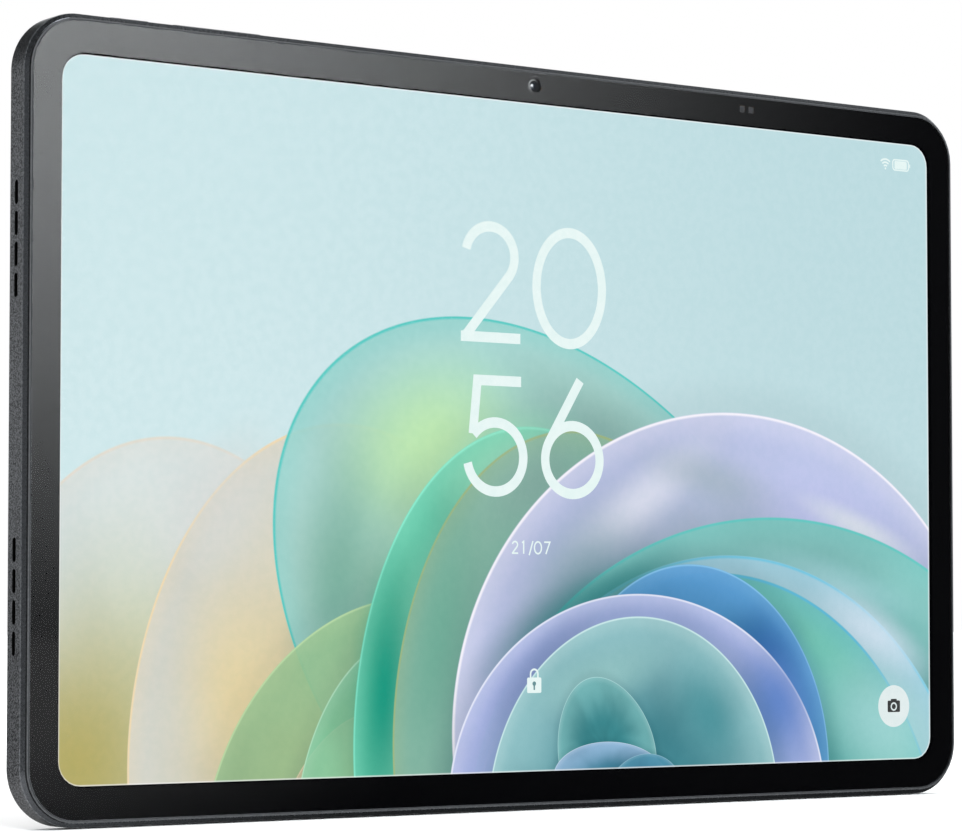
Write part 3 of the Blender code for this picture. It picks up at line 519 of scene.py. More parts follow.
def piece(name, bm, materials, body="tablet_body", stands_for=(),
          angle=SMOOTH_ANGLE):
    """Makes the piece, shades it smoothly and rides it on its body."""
    bmesh.ops.remove_doubles(bm, verts=bm.verts, dist=WELD)
    bmesh.ops.dissolve_degenerate(bm, edges=bm.edges, dist=WELD)
    bmesh.ops.recalc_face_normals(bm, faces=bm.faces)
    mesh = bpy.data.meshes.new(name)
    bm.to_mesh(mesh)
    bm.free()
    item = bpy.data.objects.new(name, mesh)
    bpy.context.scene.collection.objects.link(item)
    for material in materials:
        mesh.materials.append(material)
    shade_smooth(mesh, angle)
    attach(item, body)
    if stands_for:
        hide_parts(*stands_for)
    return item


def shade_smooth(mesh, angle):
    for face in mesh.polygons:
        face.use_smooth = True
    mesh.set_sharp_from_angle(angle=math.radians(angle))


def cut(item, cutter_bm, inside=2):
    """Cuts a shape out of a piece and keeps the result as its mesh."""
    for face in cutter_bm.faces:
        face.material_index = inside
    bmesh.ops.recalc_face_normals(cutter_bm, faces=cutter_bm.faces)
    mesh = bpy.data.meshes.new("cutter")
    cutter_bm.to_mesh(mesh)
    cutter_bm.free()
    cutter = bpy.data.objects.new("cutter", mesh)
    bpy.context.scene.collection.objects.link(cutter)
    modifier = item.modifiers.new("cut", 'BOOLEAN')
    modifier.object = cutter
    modifier.solver = 'EXACT'
    graph = bpy.context.evaluated_depsgraph_get()
    result = bpy.data.meshes.new_from_object(item.evaluated_get(graph))
    item.modifiers.clear()
    item.data = result
    bpy.data.objects.remove(cutter)
    shade_smooth(result, SMOOTH_ANGLE)


def weigh_normals(item):
    modifier = item.modifiers.new("normals", 'WEIGHTED_NORMAL')
    modifier.keep_sharp = True


def turned(bm, profile, centre, depth, steps=16, closed=False, direction=1.0, material=0):
    """A turned shape facing the rear (direction 1) or the front (-1)."""
    sections = [(radius, radius, radius, depth + direction * along)
                for radius, along in profile]
    return loft(bm, sections, on_front, centre, steps, closed, material)


def stroke(bm, points, width, depth, thickness, closed=False):
    """A flat ribbon of even width along points in the plane of the screen."""
    count = len(points)
    rows = []
    for index, point in enumerate(points):
        before = points[index - 1] if index or closed else point
        after = points[(index + 1) % count] if index + 1 < count or closed else point
        legs = []
        for start, end in ((before, point), (point, after)):
            leg = Vector((end[0] - start[0], end[1] - start[1]))
            if leg.length > 1e-6:
                legs.append(leg.normalized())
        along = sum(legs, Vector((0.0, 0.0))).normalized()
        side = Vector((-along.y, along.x))
        reach = width / 2 / max(0.35, along.dot(legs[0]))
        here = Vector(point)
        left = here + side * reach
        right = here - side * reach
        rows.append([bm.verts.new(on_front(p.x, p.y, d))
                     for p, d in ((left, depth), (right, depth), (right, depth + thickness),
                                  (left, depth + thickness))])
    pairs = list(zip(rows, rows[1:]))
    if closed:
        pairs.append((rows[-1], rows[0]))
    for low, high in pairs:
        for index in range(4):
            after = (index + 1) % 4
            bm.faces.new((low[index], low[after], high[after], high[index]))
    if not closed:
        bm.faces.new(list(reversed(rows[0])))
        bm.faces.new(rows[-1])
    return bm


def arc(centre, radius, start, end, steps=40, tall=None):
    """Points on an arc, in degrees; tall is the vertical radius of an ellipse."""
    points = []
    for step in range(steps + 1):
        angle = math.radians(start + (end - start) * step / steps)
        points.append((centre[0] + radius * math.cos(angle),
                       centre[1] + (tall or radius) * math.sin(angle)))
    return points


# ---------------------------------------------------------------- finishes

BLASTED = surface("blasted_metal", "222326", "a0a1a5", roughness=(0.28, 0.38), metallic=0.75,
                  grain=0.3, bump=0.008, detail=1.0, contrast=(0.3, 0.72))
CHAMFER = surface("rim_metal", "5e6064", "686a6e", roughness=(0.24, 0.3), metallic=0.9,
                  grain=0.5, detail=2.0)
# Near-black for the walls of the openings: painted shade in the recesses.
OPENING_PAINTED_SHADE = surface("opening_painted_shade", "020202", "050505", roughness=(0.7, 0.9), grain=0.4,
                 **{'Specular IOR Level': 0.1})
INK = surface("border_ink", "020203", "030304", roughness=(0.8, 0.9), grain=0.6,
              **{'Specular IOR Level': 0.0})
RING = surface("ring_plastic", "3a3b3d", "48494b", roughness=(0.5, 0.6), grain=0.5, bump=0.004,
               **{'Specular IOR Level': 0.15})
PICTURE = picture_material()
GLASS = glass_material()
# Opaque grey on the glass's rounded edge: a painted reflection for its bright line.
GLASS_EDGE_PAINTED_REFLECTION = surface("glass_edge_painted_reflection", "4c4e50", "58595c", roughness=(0.3, 0.4), grain=1.5,
                     **{'Specular IOR Level': 0.08})
# Paler metal on the rounded edge between chamfer and wall: a painted highlight line.
PAINTED_EDGE_HIGHLIGHT = surface("edge_painted_highlight", "6c6e72", "a0a2a6", roughness=(0.3, 0.42), metallic=0.7, grain=0.7,
               detail=3.0)
# The camera surround with painted light, lit at the upper left and shaded at the lower right.
COLLAR_PAINTED_LIGHT = collar_painted_light_material()
FUNNEL = surface("camera_funnel", "101113", "1b1c1e", roughness=(0.5, 0.6), grain=0.3,
                 **{'Specular IOR Level': 0.1})
GLASS_CLEAR = clear_material("glass_clear", "f4fafa")
GLASS_BACK = clear_material("glass_back", "fbfdfd", gloss=False)
LENS_GLASS = surface("lens_coating", "05070c", "0c1420", roughness=(0.03, 0.07), grain=1.2,
                     **{'Coat Weight': 0.5, 'Coat Roughness': 0.02, 'IOR': 1.6})
BLACK_PLASTIC = surface("black_plastic", "0b0b0c", "151516", roughness=(0.35, 0.5), grain=0.3,
                        bump=0.004)
CONTACT_GOLD = surface("contact_gold", "b08d45", "d2b066", roughness=(0.2, 0.32), metallic=1.0,
                       grain=0.25)
SYMBOL_WHITE = glow_material("symbol_white", "e9f8f6")
BUTTON_WHITE = glow_material("button_white", "e3eeee")
SYMBOL_BLACK = surface("symbol_black", "010101", "030303", roughness=(0.6, 0.7), grain=0.8)

FINISHES = {
    "adhesive": surface("adhesive_foam", "0a0a0a", "161616", roughness=(0.7, 0.85), grain=0.2,
                        bump=0.01, pattern='cells', contrast=(0.0, 0.6)),
    "sheet": surface("brushed_steel", "7c7e80", "a8aaac", roughness=(0.22, 0.42), metallic=1.0,
                     grain=0.25, stretch=(40.0, 1.0, 1.0), bump=0.003),
    "diffuser": surface("diffuser_film", "d8dadb", "f1f3f3", roughness=(0.45, 0.6), grain=0.3,
                        pattern='dots', contrast=(0.1, 0.5)),
    "guide": surface("light_guide", "dfe6e8", "ffffff", roughness=(0.08, 0.2), grain=0.8,
                     pattern='dots', contrast=(0.1, 0.3)),
    "leds": surface("led_strip", "d8c98a", "f3f0e4", roughness=(0.3, 0.5), grain=4.0,
                    pattern='weave', contrast=(0.45, 0.6)),
    "flex": surface("polyimide_film", "3a2408", "8a5a1c", roughness=(0.2, 0.4), grain=0.35,
                    stretch=(14.0, 1.0, 1.0), contrast=(0.45, 0.55)),
    "board": surface("solder_mask", "05180e", "0f3a22", roughness=(0.25, 0.45), grain=0.55,
                     pattern='cells', bump=0.01, contrast=(0.1, 0.3)),
    "pouch": surface("battery_pouch", "1b1c1e", "2c2d30", roughness=(0.35, 0.55), grain=6.0,
                     bump=0.12, detail=4.0),
    "graphite": surface("graphite_film", "26272a", "3a3b3f", roughness=(0.3, 0.5), metallic=0.6,
                        grain=0.4, stretch=(1.0, 1.0, 6.0)),
    "chip": surface("chip_resin", "0d0d0e", "1a1a1c", roughness=(0.5, 0.7), grain=0.12,
                    bump=0.004),
    "shield": surface("shield_tin", "9a9c9e", "c2c4c6", roughness=(0.2, 0.34), metallic=1.0,
                      grain=0.8, bump=0.004),
    "screw": surface("screw_steel", "6f7173", "96989a", roughness=(0.2, 0.35), metallic=1.0,
                     grain=0.2, bump=0.002),
    "cable": surface("cable_jacket", "101012", "1e1e22", roughness=(0.4, 0.6), grain=0.3,
                     stretch=(1.0, 1.0, 3.0), bump=0.01),
    "speaker": surface("speaker_case", "121213", "1d1d1f", roughness=(0.45, 0.6), grain=0.25,
                       bump=0.006),
    "mesh": surface("speaker_mesh", "020202", "242527", roughness=(0.4, 0.6), metallic=0.6,
                    grain=0.05, pattern='weave', bump=0.02, contrast=(0.4, 0.6)),
    "tin": surface("usb_tin", "8d9093", "b9bcbf", roughness=(0.18, 0.3), metallic=1.0,
                   grain=0.15, stretch=(30.0, 1.0, 1.0)),
    "sensor": surface("sensor_filter", "050507", "0d0a12", roughness=(0.08, 0.16), grain=0.5),
    "blasted": BLASTED,
    "plastic": BLACK_PLASTIC,
    "ring": RING,
    "ink": INK,
    "lens": LENS_GLASS,
}

NODE_FINISH = {
    "glass_surround": "ring", "border_print": "ink", "display_adhesive": "adhesive",
    "diffuser_sheet": "diffuser", "light_guide": "guide", "led_strip": "leds",
    "display_tray": "sheet", "display_flex": "flex", "mid_plate": "sheet",
    "graphite_sheet": "graphite", "battery_cell_left": "pouch", "battery_cell_right": "pouch",
    "battery_board": "board", "main_board": "board", "board_screw_1": "screw",
    "board_screw_2": "screw", "board_screw_3": "screw", "processor_chip": "chip",
    "processor_shield": "shield", "radio_shield": "shield", "wifi_antenna_left": "flex",
    "wifi_antenna_right": "flex", "antenna_cable": "cable", "speaker_upper_left": "speaker",
    "speaker_lower_left": "speaker", "speaker_upper_right": "speaker",
    "speaker_lower_right": "speaker", "speaker_mesh_upper_left": "mesh",
    "speaker_mesh_lower_left": "mesh", "speaker_mesh_upper_right": "mesh",
    "speaker_mesh_lower_right": "mesh", "microphone": "shield", "power_switch": "tin",
    "volume_up_switch": "tin", "volume_down_switch": "tin", "button_flex": "flex",
    "usb_c_shell": "tin", "usb_c_tongue": "plastic", "usb_board": "board",
    "card_tray": "blasted", "card_socket": "tin", "eject_rod": "screw", "eject_lever": "tin",
    "front_camera_module": "plastic", "light_sensor": "sensor", "proximity_sensor": "sensor",
    "sensor_flex": "flex", "rear_camera_module": "plastic",
}


def dress_nodes():
    """Gives each carried-over CAD node its finish."""
    for name, finish in NODE_FINISH.items():
        mesh = frame["nodes"][name].data
        mesh.materials.clear()
        mesh.materials.append(FINISHES[finish])
        shade_smooth(mesh, NODE_SMOOTH_ANGLE)
    sided_finish("cover_glass", GLASS_EDGE_PAINTED_REFLECTION, GLASS, GLASS_BACK)
    sided_finish("display_panel", BLACK_PLASTIC, PICTURE, BLACK_PLASTIC)


def sided_finish(name, edge, front, back):
    """Separate finishes for the edges, the front and the back of a flat node."""
    mesh = frame["nodes"][name].data
    mesh.materials.clear()
    for material in (edge, front, back):
        mesh.materials.append(material)
    shade_smooth(mesh, NODE_SMOOTH_ANGLE)
    for face in mesh.polygons:
        facing = face.normal.y
        face.material_index = 1 if facing < -0.95 else 2 if facing > 0.95 else 0


# ---------------------------------------------------------------- shell

def body_section(inset, depth):
    return (HALF_WIDTH - inset, HALF_HEIGHT - inset, BODY_CORNER - inset, depth)


def make_shell():
    chamfer_end = RIM_DEPTH + RIM_CHAMFER
    profile = [CAVITY, (CAVITY[0], POCKET[1]), POCKET, (POCKET[0], RIM_DEPTH + 0.08),
               (RIM_CHAMFER - 0.01, RIM_DEPTH + 0.02), (RIM_CHAMFER - 0.07, RIM_DEPTH + 0.07)]
    profile += [(0.12, chamfer_end - 0.12), (0.055, chamfer_end - 0.04),
                (0.015, chamfer_end + 0.06), (SKIN_GAP, chamfer_end + 0.18)]
    steps = 10
    for step in range(steps + 1):
        angle = math.radians(90.0 * step / steps)
        profile.append((REAR_FILLET * (1.0 - math.cos(angle)) + SKIN_GAP,
                        REAR_FACE - REAR_FILLET + REAR_FILLET * math.sin(angle)))
    bm = loft(bmesh.new(), [body_section(*p) for p in profile], on_front, steps=CORNER_STEPS)
    for face in bm.faces:
        depth = face.calc_center_median().y / MM + FRONT_DEPTH
        if RIM_DEPTH < depth < chamfer_end - 0.12:
            face.material_index = 1
        # The rounded edge behind the chamfer takes the painted highlight.
        elif chamfer_end - 0.12 < depth < chamfer_end + 0.16:
            face.material_index = 3
    shell = piece("housing_shell", bm, (BLASTED, CHAMFER, OPENING_PAINTED_SHADE, PAINTED_EDGE_HIGHLIGHT),
                  stands_for=("rear_housing",))
    openings = bmesh.new()
    for side in (-1, 1):
        for half in (-1, 1):
            for height in SLOT_HEIGHTS:
                wall_opening(openings, side, half * height, SLOT_DEPTH, SLOT_LENGTH, SLOT_WIDTH)
    for height, (length, thickness) in ((0.0, USB_OUTER), (TRAY_HEIGHT, TRAY_CAP)):
        wall_opening(openings, 1, height, SOCKET_DEPTH, length + OPENING_CLEARANCE,
                     thickness + OPENING_CLEARANCE)
    for x, length in (POWER_KEY, ROCKER_KEY):
        edge_opening(openings, x, length + OPENING_CLEARANCE, KEY_THICKNESS + OPENING_CLEARANCE)
    edge_opening(openings, MICROPHONE_X, MICROPHONE_HOLE, MICROPHONE_HOLE)
    turned(openings, ((REAR_CAMERA_HOLE, -1.4), (REAR_CAMERA_HOLE, 1.6)), REAR_CAMERA, REAR_FACE,
           24)
    # The walls cut by the openings take the third finish, the painted shade.
    cut(shell, openings)
    weigh_normals(shell)


def opening_sections(length, thickness, outer, inner, outward):
    """A hole with a small bevel at its mouth."""
    bevel = OPENING_BEVEL
    half_u, half_v = length / 2, thickness / 2
    corner = min(half_u, half_v) - 0.004
    mouth = outer - outward * bevel
    beyond = outer + outward * 2.0
    return ((half_u, half_v, corner, inner), (half_u, half_v, corner, mouth),
            (half_u + bevel, half_v + bevel, corner + bevel, outer),
            (half_u + bevel, half_v + bevel, corner + bevel, beyond))


def wall_opening(bm, side, height, depth, length, thickness):
    sections = opening_sections(length, thickness, side * HALF_WIDTH, side * (HALF_WIDTH - 3.0),
                                side)
    loft(bm, sections, on_side, (height, depth), 8)


def edge_opening(bm, x, length, thickness):
    sections = opening_sections(length, thickness, HALF_HEIGHT, HALF_HEIGHT - 3.0, 1)
    loft(bm, sections, on_top, (x, KEY_DEPTH), 8)


def make_keys():
    """The two keys: a crowned cap, and the wide foot that holds it inside the wall."""
    for name, node, (x, length), foot_top in (
            ("power_key", "power_button", POWER_KEY, POWER_FOOT_TOP),
            ("rocker_key", "volume_rocker", ROCKER_KEY, ROCKER_FOOT_TOP)):
        half_u, half_v = length / 2, KEY_THICKNESS / 2
        sections = [(half_u, half_v, half_v - 0.01, foot_top - 0.02)]
        for step in range(7):
            angle = math.radians(15.0 * step)
            inset = KEY_ROUND_OVER * (1.0 - math.cos(angle))
            sections.append((half_u - inset, half_v - inset, half_v - inset - 0.01,
                             KEY_TOP - KEY_ROUND_OVER + KEY_ROUND_OVER * math.sin(angle)))
        bm = loft(bmesh.new(), sections, on_top, (x, KEY_DEPTH), 12)
        overhang, foot_height = KEY_FOOT
        foot = [(half_u + overhang, half_v + overhang, 0.5, height)
                for height in (foot_top - foot_height, foot_top)]
        loft(bm, foot, on_top, (x, KEY_DEPTH), 4)
        item = piece(name, bm, (BLASTED,), body=node, stands_for=(node,))
        weigh_normals(item)


def make_usb_contacts():
    """Gold contact strips on both faces of the socket's tongue."""
    bm = bmesh.new()
    middle = (CONTACT_COUNT - 1) / 2
    for face_depth in CONTACT_DEPTHS:
        for index in range(CONTACT_COUNT):
            height = (index - middle) * CONTACT_PITCH
            sections = [(*CONTACT_HALF, CONTACT_HALF[1] / 2, x) for x in CONTACT_ENDS]
            loft(bm, sections, on_side, (height, face_depth), 1)
    piece("usb_contacts", bm, (CONTACT_GOLD,))


# ---------------------------------------------------------------- cameras

def dome(radius, height, base):
    """The profile of a lens face, from its rim up to near its middle."""
    return [(radius * math.cos(math.radians(a)), base + height * math.sin(math.radians(a)))
            for a in range(0, 90, 10)]


def distance_from(face, middle):
    """How far a face lies from a camera's axis, in millimetres."""
    offset = face.center - middle
    return math.hypot(offset.x, offset.z) / MM


def make_front_camera():
    centre = (0.0, FRONT_CAMERA_HEIGHT)
    ring_depth, lens_depth, lens_radius = 0.8, 1.3, 0.84
    collar, funnel = FRONT_COLLAR_RADIUS, FRONT_FUNNEL_RADIUS
    profile = ((0.88, -0.2), (1.1, 0.04), (funnel, 0.1), (1.24, 0.12), (1.34, 0.1), (collar, 0.03),
               (2.1, 0.03), (2.1, 0.0), (1.12, 0.0), (1.05, -0.05), (0.88, -0.26))
    bm = turned(bmesh.new(), profile, centre, ring_depth, 24, True, -1.0)
    item = piece("front_camera_collar", bm, (INK, COLLAR_PAINTED_LIGHT, FUNNEL),
                 stands_for=("front_camera_ring",))
    middle = world(centre[0], ring_depth, centre[1])
    for face in item.data.polygons:
        across = distance_from(face, middle)
        face.material_index = 2 if across < funnel else 1 if across < collar else 0
    profile = [(lens_radius, -0.18)] + dome(lens_radius, 0.3, 0.0)
    bm = turned(bmesh.new(), profile, centre, lens_depth, 16, False, -1.0)
    piece("front_camera_dome", bm, (LENS_GLASS,),
          stands_for=("front_camera_lens",))


def make_rear_camera():
    rise = REAR_CAMERA_RISE
    trim = ((4.45, 0.25), (4.45, rise - 0.12), (4.57, rise), (8.1, rise), (8.3, rise - 0.06),
            (8.44, rise - 0.18), (8.5, rise - 0.36), (8.5, 0.05), (5.1, 0.05), (5.1, -0.7),
            (3.9, -0.7), (3.9, 0.25))
    bm = turned(bmesh.new(), trim, REAR_CAMERA, REAR_FACE, 24, True)
    item = piece("rear_camera_collar", bm, (BLASTED, CHAMFER), stands_for=("rear_camera_trim",))
    middle = world(REAR_CAMERA[0], REAR_FACE, REAR_CAMERA[1])
    for face in item.data.polygons:
        across = distance_from(face, middle)
        face.material_index = 0 if 4.7 < across < 8.0 else 1
    weigh_normals(item)
    window = ((4.2, 0.7), (4.3, 0.67), (4.35, 0.6), (4.35, 0.3))
    bm = turned(bmesh.new(), window, REAR_CAMERA, REAR_FACE, 24)
    piece("rear_camera_glass", bm, (GLASS_CLEAR,),
          stands_for=("rear_camera_window",))
    barrel = [(1.3, 0.0), (1.3, 1.4), (1.45, 1.4), (1.5, 1.75), (1.75, 1.75), (1.8, 2.1),
              (2.1, 2.1), (2.15, 2.45), (2.5, 2.45), (2.55, 2.7), (2.95, 2.7), (3.1, 2.62),
              (3.2, 2.45), (3.2, 0.0)]
    barrel_depth, lens_depth, lens_radius = 4.3, 5.7, 1.29
    bm = turned(bmesh.new(), barrel, REAR_CAMERA, barrel_depth, 20, True)
    piece("rear_lens_barrel", bm, (BLACK_PLASTIC,), body="lens_barrel",
          stands_for=("rear_camera_barrel",))
    profile = [(lens_radius, 0.0)] + dome(lens_radius, 0.4, 0.2)
    bm = turned(bmesh.new(), profile, REAR_CAMERA, lens_depth, 20)
    piece("rear_lens_dome", bm, (LENS_GLASS,), body="lens_barrel",
          stands_for=("rear_camera_lens",))


# ---------------------------------------------------------------- clock and symbols

CLOCK_DEPTH = 0.772
CLOCK_WIDTH = 2.3
DATE_SIZE = 0.105
DATE_START = (-5.2, -24.75)
DATE_WIDTH = 0.36
SYMBOL_DEPTH = 0.78
SYMBOL_SKIN = 0.003
LAYER = 0.004
CAMERA_BUTTON = (106.8, -61.35)
WIFI_SYMBOL = (105.1, 67.75)
BATTERY_SYMBOL = (110.05, 68.85)


def draw(name, lines, width):
    """Ribbons along (points, closed), each a hair in front of the one before."""
    bm = bmesh.new()
    for index, (points, closed) in enumerate(lines):
        stroke(bm, points, width, CLOCK_DEPTH + index % 3 * LAYER, SYMBOL_SKIN, closed)
    return piece(name, bm, (SYMBOL_WHITE,))


def two(x, y, size):
    bowl = arc((x - 0.4 * size, y + 5.92 * size), 6.6 * size, 168.0, -42.6)
    foot = (x - 7.15 * size, y - 11.95 * size)
    base = [(x - 8.3 * size, foot[1]), (x + 7.8 * size, foot[1])]
    return [(bowl + [foot], False), (base, False)]


def zero(x, y, size):
    return [(arc((x, y), 9.16 * size, 0.0, 354.0, 59, 12.46 * size), True)]


def five(x, y, size):
    bowl = arc((x - 0.6 * size, y - 4.9 * size), 7.6 * size, 141.0, -169.0)
    head = [(x + 6.4 * size, y + 11.9 * size), (x - 5.45 * size, y + 11.9 * size),
            (x - 6.65 * size, y + 0.1 * size)]
    return [(bowl, False), (head, False)]


def six(x, y, size):
    centre = (x, y - 4.95 * size)
    touch = arc(centre, 7.6 * size, 146.3, 146.3, 1)[0]
    return [(arc(centre, 7.6 * size, 0.0, 354.0, 59), True),
            ([(x + 2.14 * size, y + 12.9 * size), touch], False)]


def one(x, y, size):
    return [([(x - 3.5 * size, y + 10.0 * size), (x + 0.8 * size, y + 13.0 * size),
              (x + 0.8 * size, y - 13.0 * size)], False)]


def seven(x, y, size):
    return [([(x - 7.5 * size, y + 12.0 * size), (x + 7.5 * size, y + 12.0 * size),
              (x - 3.0 * size, y - 13.0 * size)], False)]


def slash(x, y, size):
    return [([(x + 5.0 * size, y + 14.0 * size), (x - 5.0 * size, y - 16.0 * size)], False)]


def make_clock():
    draw("clock_tens_of_hours", two(-11.55, 33.3, 1.0), CLOCK_WIDTH)
    draw("clock_hours", zero(9.87, 33.33, 1.0), CLOCK_WIDTH)
    draw("clock_tens_of_minutes", five(-9.95, -0.05, 1.0), CLOCK_WIDTH)
    draw("clock_minutes", six(10.67, -0.1, 1.0), CLOCK_WIDTH)
    date = []
    x, y = DATE_START
    for shape, advance in ((two, 2.25), (one, 2.1), (slash, 1.9), (zero, 2.5), (seven, 2.0)):
        date += shape(x, y, DATE_SIZE)
        x += advance
    draw("clock_date", date, DATE_WIDTH)


def flat_plate(bm, centre, size, corner, depth, steps=8):
    """A thin plate with rounded corners, in the plane of the screen."""
    half_u, half_v = size[0] / 2, size[1] / 2
    sections = [(half_u, half_v, corner, depth), (half_u, half_v, corner, depth + SYMBOL_SKIN)]
    return loft(bm, sections, on_front, centre, steps)


def make_symbols():
    level = SYMBOL_DEPTH
    lock = flat_plate(bmesh.new(), (0.0, -55.1), (3.9, 3.4), 0.35, level)
    shackle = [(-1.0, -53.6), (-1.0, -52.7)] + arc((0.0, -52.6), 1.0, 180.0, 0.0, 16) \
        + [(1.0, -52.7), (1.0, -53.6)]
    stroke(lock, shackle, 0.42, level - LAYER, SYMBOL_SKIN)
    piece("lock_symbol", lock, (SYMBOL_WHITE,))
    keyhole = flat_plate(bmesh.new(), (0.0, -54.75), (1.0, 1.0), 0.498, level - 2 * LAYER)
    flat_plate(keyhole, (0.0, -55.6), (0.42, 1.1), 0.1, level - 3 * LAYER)
    dull = glow_material("keyhole_grey", "5f8d92")
    piece("lock_keyhole", keyhole, (dull,))

    x, y = CAMERA_BUTTON
    disc = flat_plate(bmesh.new(), (x, y), (9.96, 9.96), 4.979, level, steps=16)
    piece("camera_button", disc, (BUTTON_WHITE,))
    body = flat_plate(bmesh.new(), (x, y - 0.05), (3.98, 2.76), 0.3, level - LAYER)
    flat_plate(body, (x, y + 1.35), (1.9, 0.75), 0.2, level - LAYER - 0.0015)
    piece("camera_symbol", body, (SYMBOL_BLACK,))
    lens = stroke(bmesh.new(), arc((x, y - 0.1), 0.83, 0.0, 352.0, 44), 0.36,
                  level - 2 * LAYER - 0.001, SYMBOL_SKIN, True)
    piece("camera_symbol_lens", lens, (BUTTON_WHITE,))

    x, y = WIFI_SYMBOL
    waves = bmesh.new()
    for radius in (0.75, 1.5, 2.25):
        stroke(waves, arc((x, y), radius, 132.0, 48.0, 14), 0.4, level, SYMBOL_SKIN)
    flat_plate(waves, (x, y), (0.5, 0.5), 0.249, level)
    piece("wifi_symbol", waves, (SYMBOL_WHITE,))

    x, y = BATTERY_SYMBOL
    outline = ring(2.55, 1.25, 0.7, 6)
    cell = stroke(bmesh.new(), [(x + u, y + v) for u, v in outline], 0.35, level,
                  SYMBOL_SKIN, True)
    flat_plate(cell, (x, y), (4.0, 1.95), 0.3, level)
    flat_plate(cell, (x + 2.95, y), (0.3, 0.9), 0.14, level)
    piece("battery_symbol", cell, (SYMBOL_WHITE,))


# ---------------------------------------------------------------- studio

FLOOR_SIZE = 6.0
FLOOR_DROP = 0.0003
FLOOR_BOUNCE = 0.04
FLOOR_BOUNCE_FRONT = 0.85
FLOOR_BOUNCE_BEHIND = 0.3
ROOM_LIGHT = 0.3
OVERHEAD_DIMMING = 0.27


def make_floor():
    """White paper to the camera, and darker to reflections, paler at the front left and behind."""
    mesh = bpy.data.meshes.new("studio_floor")
    bm = bmesh.new()
    bmesh.ops.create_grid(bm, x_segments=8, y_segments=8, size=FLOOR_SIZE)
    bm.to_mesh(mesh)
    bm.free()
    floor = bpy.data.objects.new("studio_floor", mesh)
    floor.location.z = -FLOOR_DROP
    bpy.context.scene.collection.objects.link(floor)
    material, graph = blank_material("floor_paper")
    grain = graph.node('ShaderNodeTexNoise', {'Scale': 60.0})
    paper = graph.mix(grain, (0.93, 0.93, 0.93, 1.0), (0.97, 0.97, 0.97, 1.0))
    shown = graph.node('ShaderNodeBsdfDiffuse', {0: paper})
    x, y, _ = graph.split(object_point(graph))
    reach = graph.math('ADD', x, graph.math('MULTIPLY', y, 0.75))
    pale = graph.math('MULTIPLY', graph.smooth(reach, -0.04, -0.24), graph.smooth(x, -0.26, -0.1))
    behind = graph.math('MULTIPLY', graph.smooth(y, 0.02, 0.12), graph.smooth(x, -0.16, -0.1))
    level = graph.math('ADD', graph.math('MULTIPLY', pale, FLOOR_BOUNCE_FRONT),
                       graph.math('MULTIPLY', behind, FLOOR_BOUNCE_BEHIND))
    level = graph.math('ADD', level, FLOOR_BOUNCE)
    dim = graph.node('ShaderNodeBsdfDiffuse', {0: graph.join(level, level, level)})
    seen = graph.node('ShaderNodeLightPath', out=0)
    finish_material(graph, graph.node('ShaderNodeMixShader', {0: seen, 1: dim, 2: shown}))
    mesh.materials.append(material)
    return floor


def make_light(floor):
    """An overhead light for the floor alone, so the tablet throws only a faint shadow."""
    sun = bpy.data.objects.new("overhead_light", bpy.data.lights.new("overhead_light", 'SUN'))
    sun.data.angle = math.radians(90.0)
    sun.data.energy = 3.7
    sun.location = (0.0, 0.0, 2.0)
    bpy.context.scene.collection.objects.link(sun)
    lit = bpy.data.collections.new("lit_from_above")
    lit.objects.link(floor)
    sun.light_linking.receiver_collection = lit


def radians(*angles):
    return [math.radians(angle) for angle in angles]


def soft_panel(graph, azimuth, elevation, across, up):
    """A panel of light by direction, in degrees: where each side starts and reaches full."""
    result = 1.0
    for angle, (start, full, fade, end) in ((azimuth, radians(*across)),
                                            (elevation, radians(*up))):
        rise = graph.smooth(angle, start, full)
        fall = graph.smooth(angle, end, fade)
        result = graph.math('MULTIPLY', graph.math('MULTIPLY', rise, fall), result)
    return graph.math('POWER', result, 1.6)


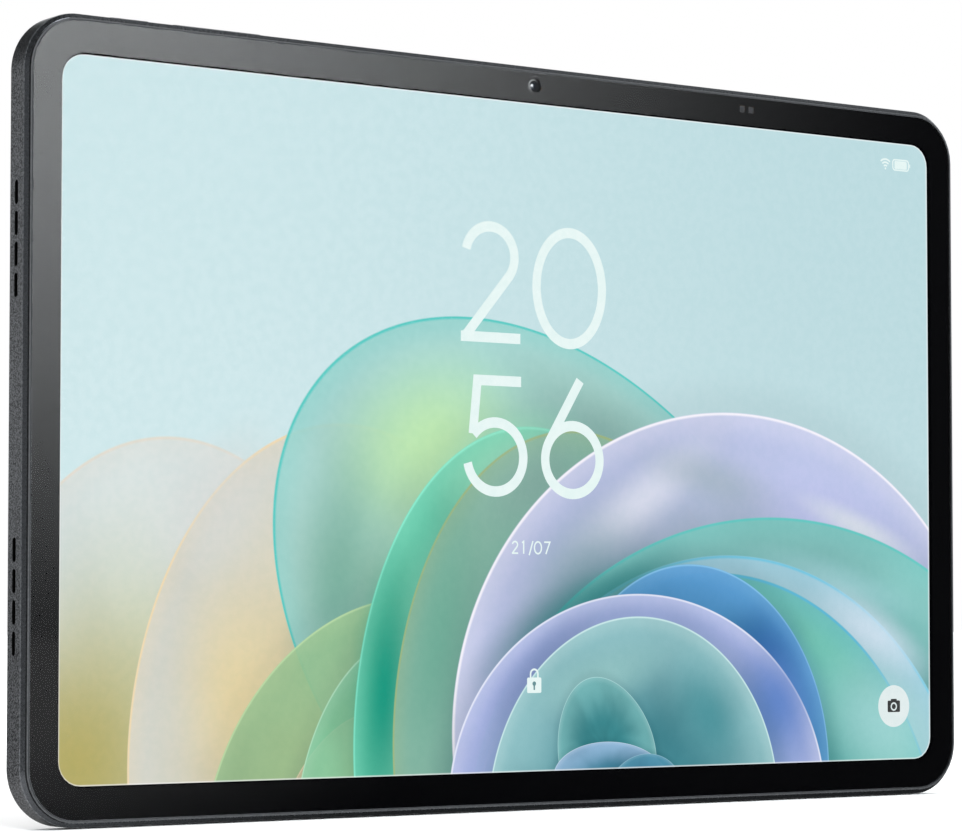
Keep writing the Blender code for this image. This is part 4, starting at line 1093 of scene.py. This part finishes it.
def make_world():
    """Pale room light, dim above, with a bright soft panel in front, two weak and a dark one."""
    studio = bpy.data.worlds.new("studio")
    studio.use_nodes = True
    studio.node_tree.nodes.clear()
    graph = Graph(studio.node_tree)
    direction = graph.node('ShaderNodeTexCoord', out=0)
    x, y, z = graph.split(direction)
    azimuth = graph.math('ARCTAN2', x, graph.math('MULTIPLY', y, -1.0))
    elevation = graph.math('ARCSINE', z)
    key_light = soft_panel(graph, azimuth, elevation, (-35, -10, 27, 45), (-4.5, 10.8, 26, 40))
    left_light = soft_panel(graph, azimuth, elevation, (-175, -155, -125, -100), (-28, -10, 4, 17))
    rear_light = soft_panel(graph, azimuth, elevation, (95, 115, 150, 168), (-14, 0, 20, 34))
    dark_side = soft_panel(graph, azimuth, elevation, (32, 44, 95, 125), (-30, -20, 30, 50))
    shade = graph.math('MULTIPLY', graph.smooth(elevation, *radians(4, 32)),
                       graph.smooth(x, 0.45, 0.1))
    strength = graph.scale_add(shade, -OVERHEAD_DIMMING, ROOM_LIGHT)
    for panel, power in ((key_light, 12.0), (left_light, 0.5), (rear_light, 1.4),
                         (dark_side, -0.22)):
        strength = graph.math('ADD', strength, graph.math('MULTIPLY', panel, power))
    seen = graph.node('ShaderNodeLightPath', out=0)
    white = graph.node('ShaderNodeBackground', {0: (1.0, 1.0, 1.0, 1.0), 1: 1.0})
    light = graph.node('ShaderNodeBackground', {0: (0.95, 0.985, 1.0, 1.0), 1: strength})
    both = graph.node('ShaderNodeMixShader', {0: seen, 1: light, 2: white})
    graph.node('ShaderNodeOutputWorld', {0: both})
    bpy.context.scene.world = studio


def make_camera():
    data = bpy.data.cameras.new("view")
    data.sensor_width = 36.0
    data.lens = CAMERA_LENS
    data.shift_y = CAMERA_SHIFT
    data.clip_start = 0.01
    data.clip_end = 50.0
    camera = bpy.data.objects.new("view", data)
    a = math.radians(CAMERA_AZIMUTH)
    e = math.radians(CAMERA_ELEVATION)
    back = Vector((math.sin(a) * math.cos(e), -math.cos(a) * math.cos(e), math.sin(e)))
    camera.location = CAMERA_PLACE
    camera.rotation_mode = 'QUATERNION'
    camera.rotation_quaternion = (-back).to_track_quat('-Z', 'Y')
    bpy.context.scene.collection.objects.link(camera)
    bpy.context.scene.camera = camera


bpy.context.scene.view_settings.view_transform = 'Standard'
dress_nodes()
make_shell()
make_keys()
make_usb_contacts()
make_front_camera()
make_rear_camera()
make_clock()
make_symbols()
make_light(make_floor())
make_world()
make_camera()

bpy.context.view_layer.update()
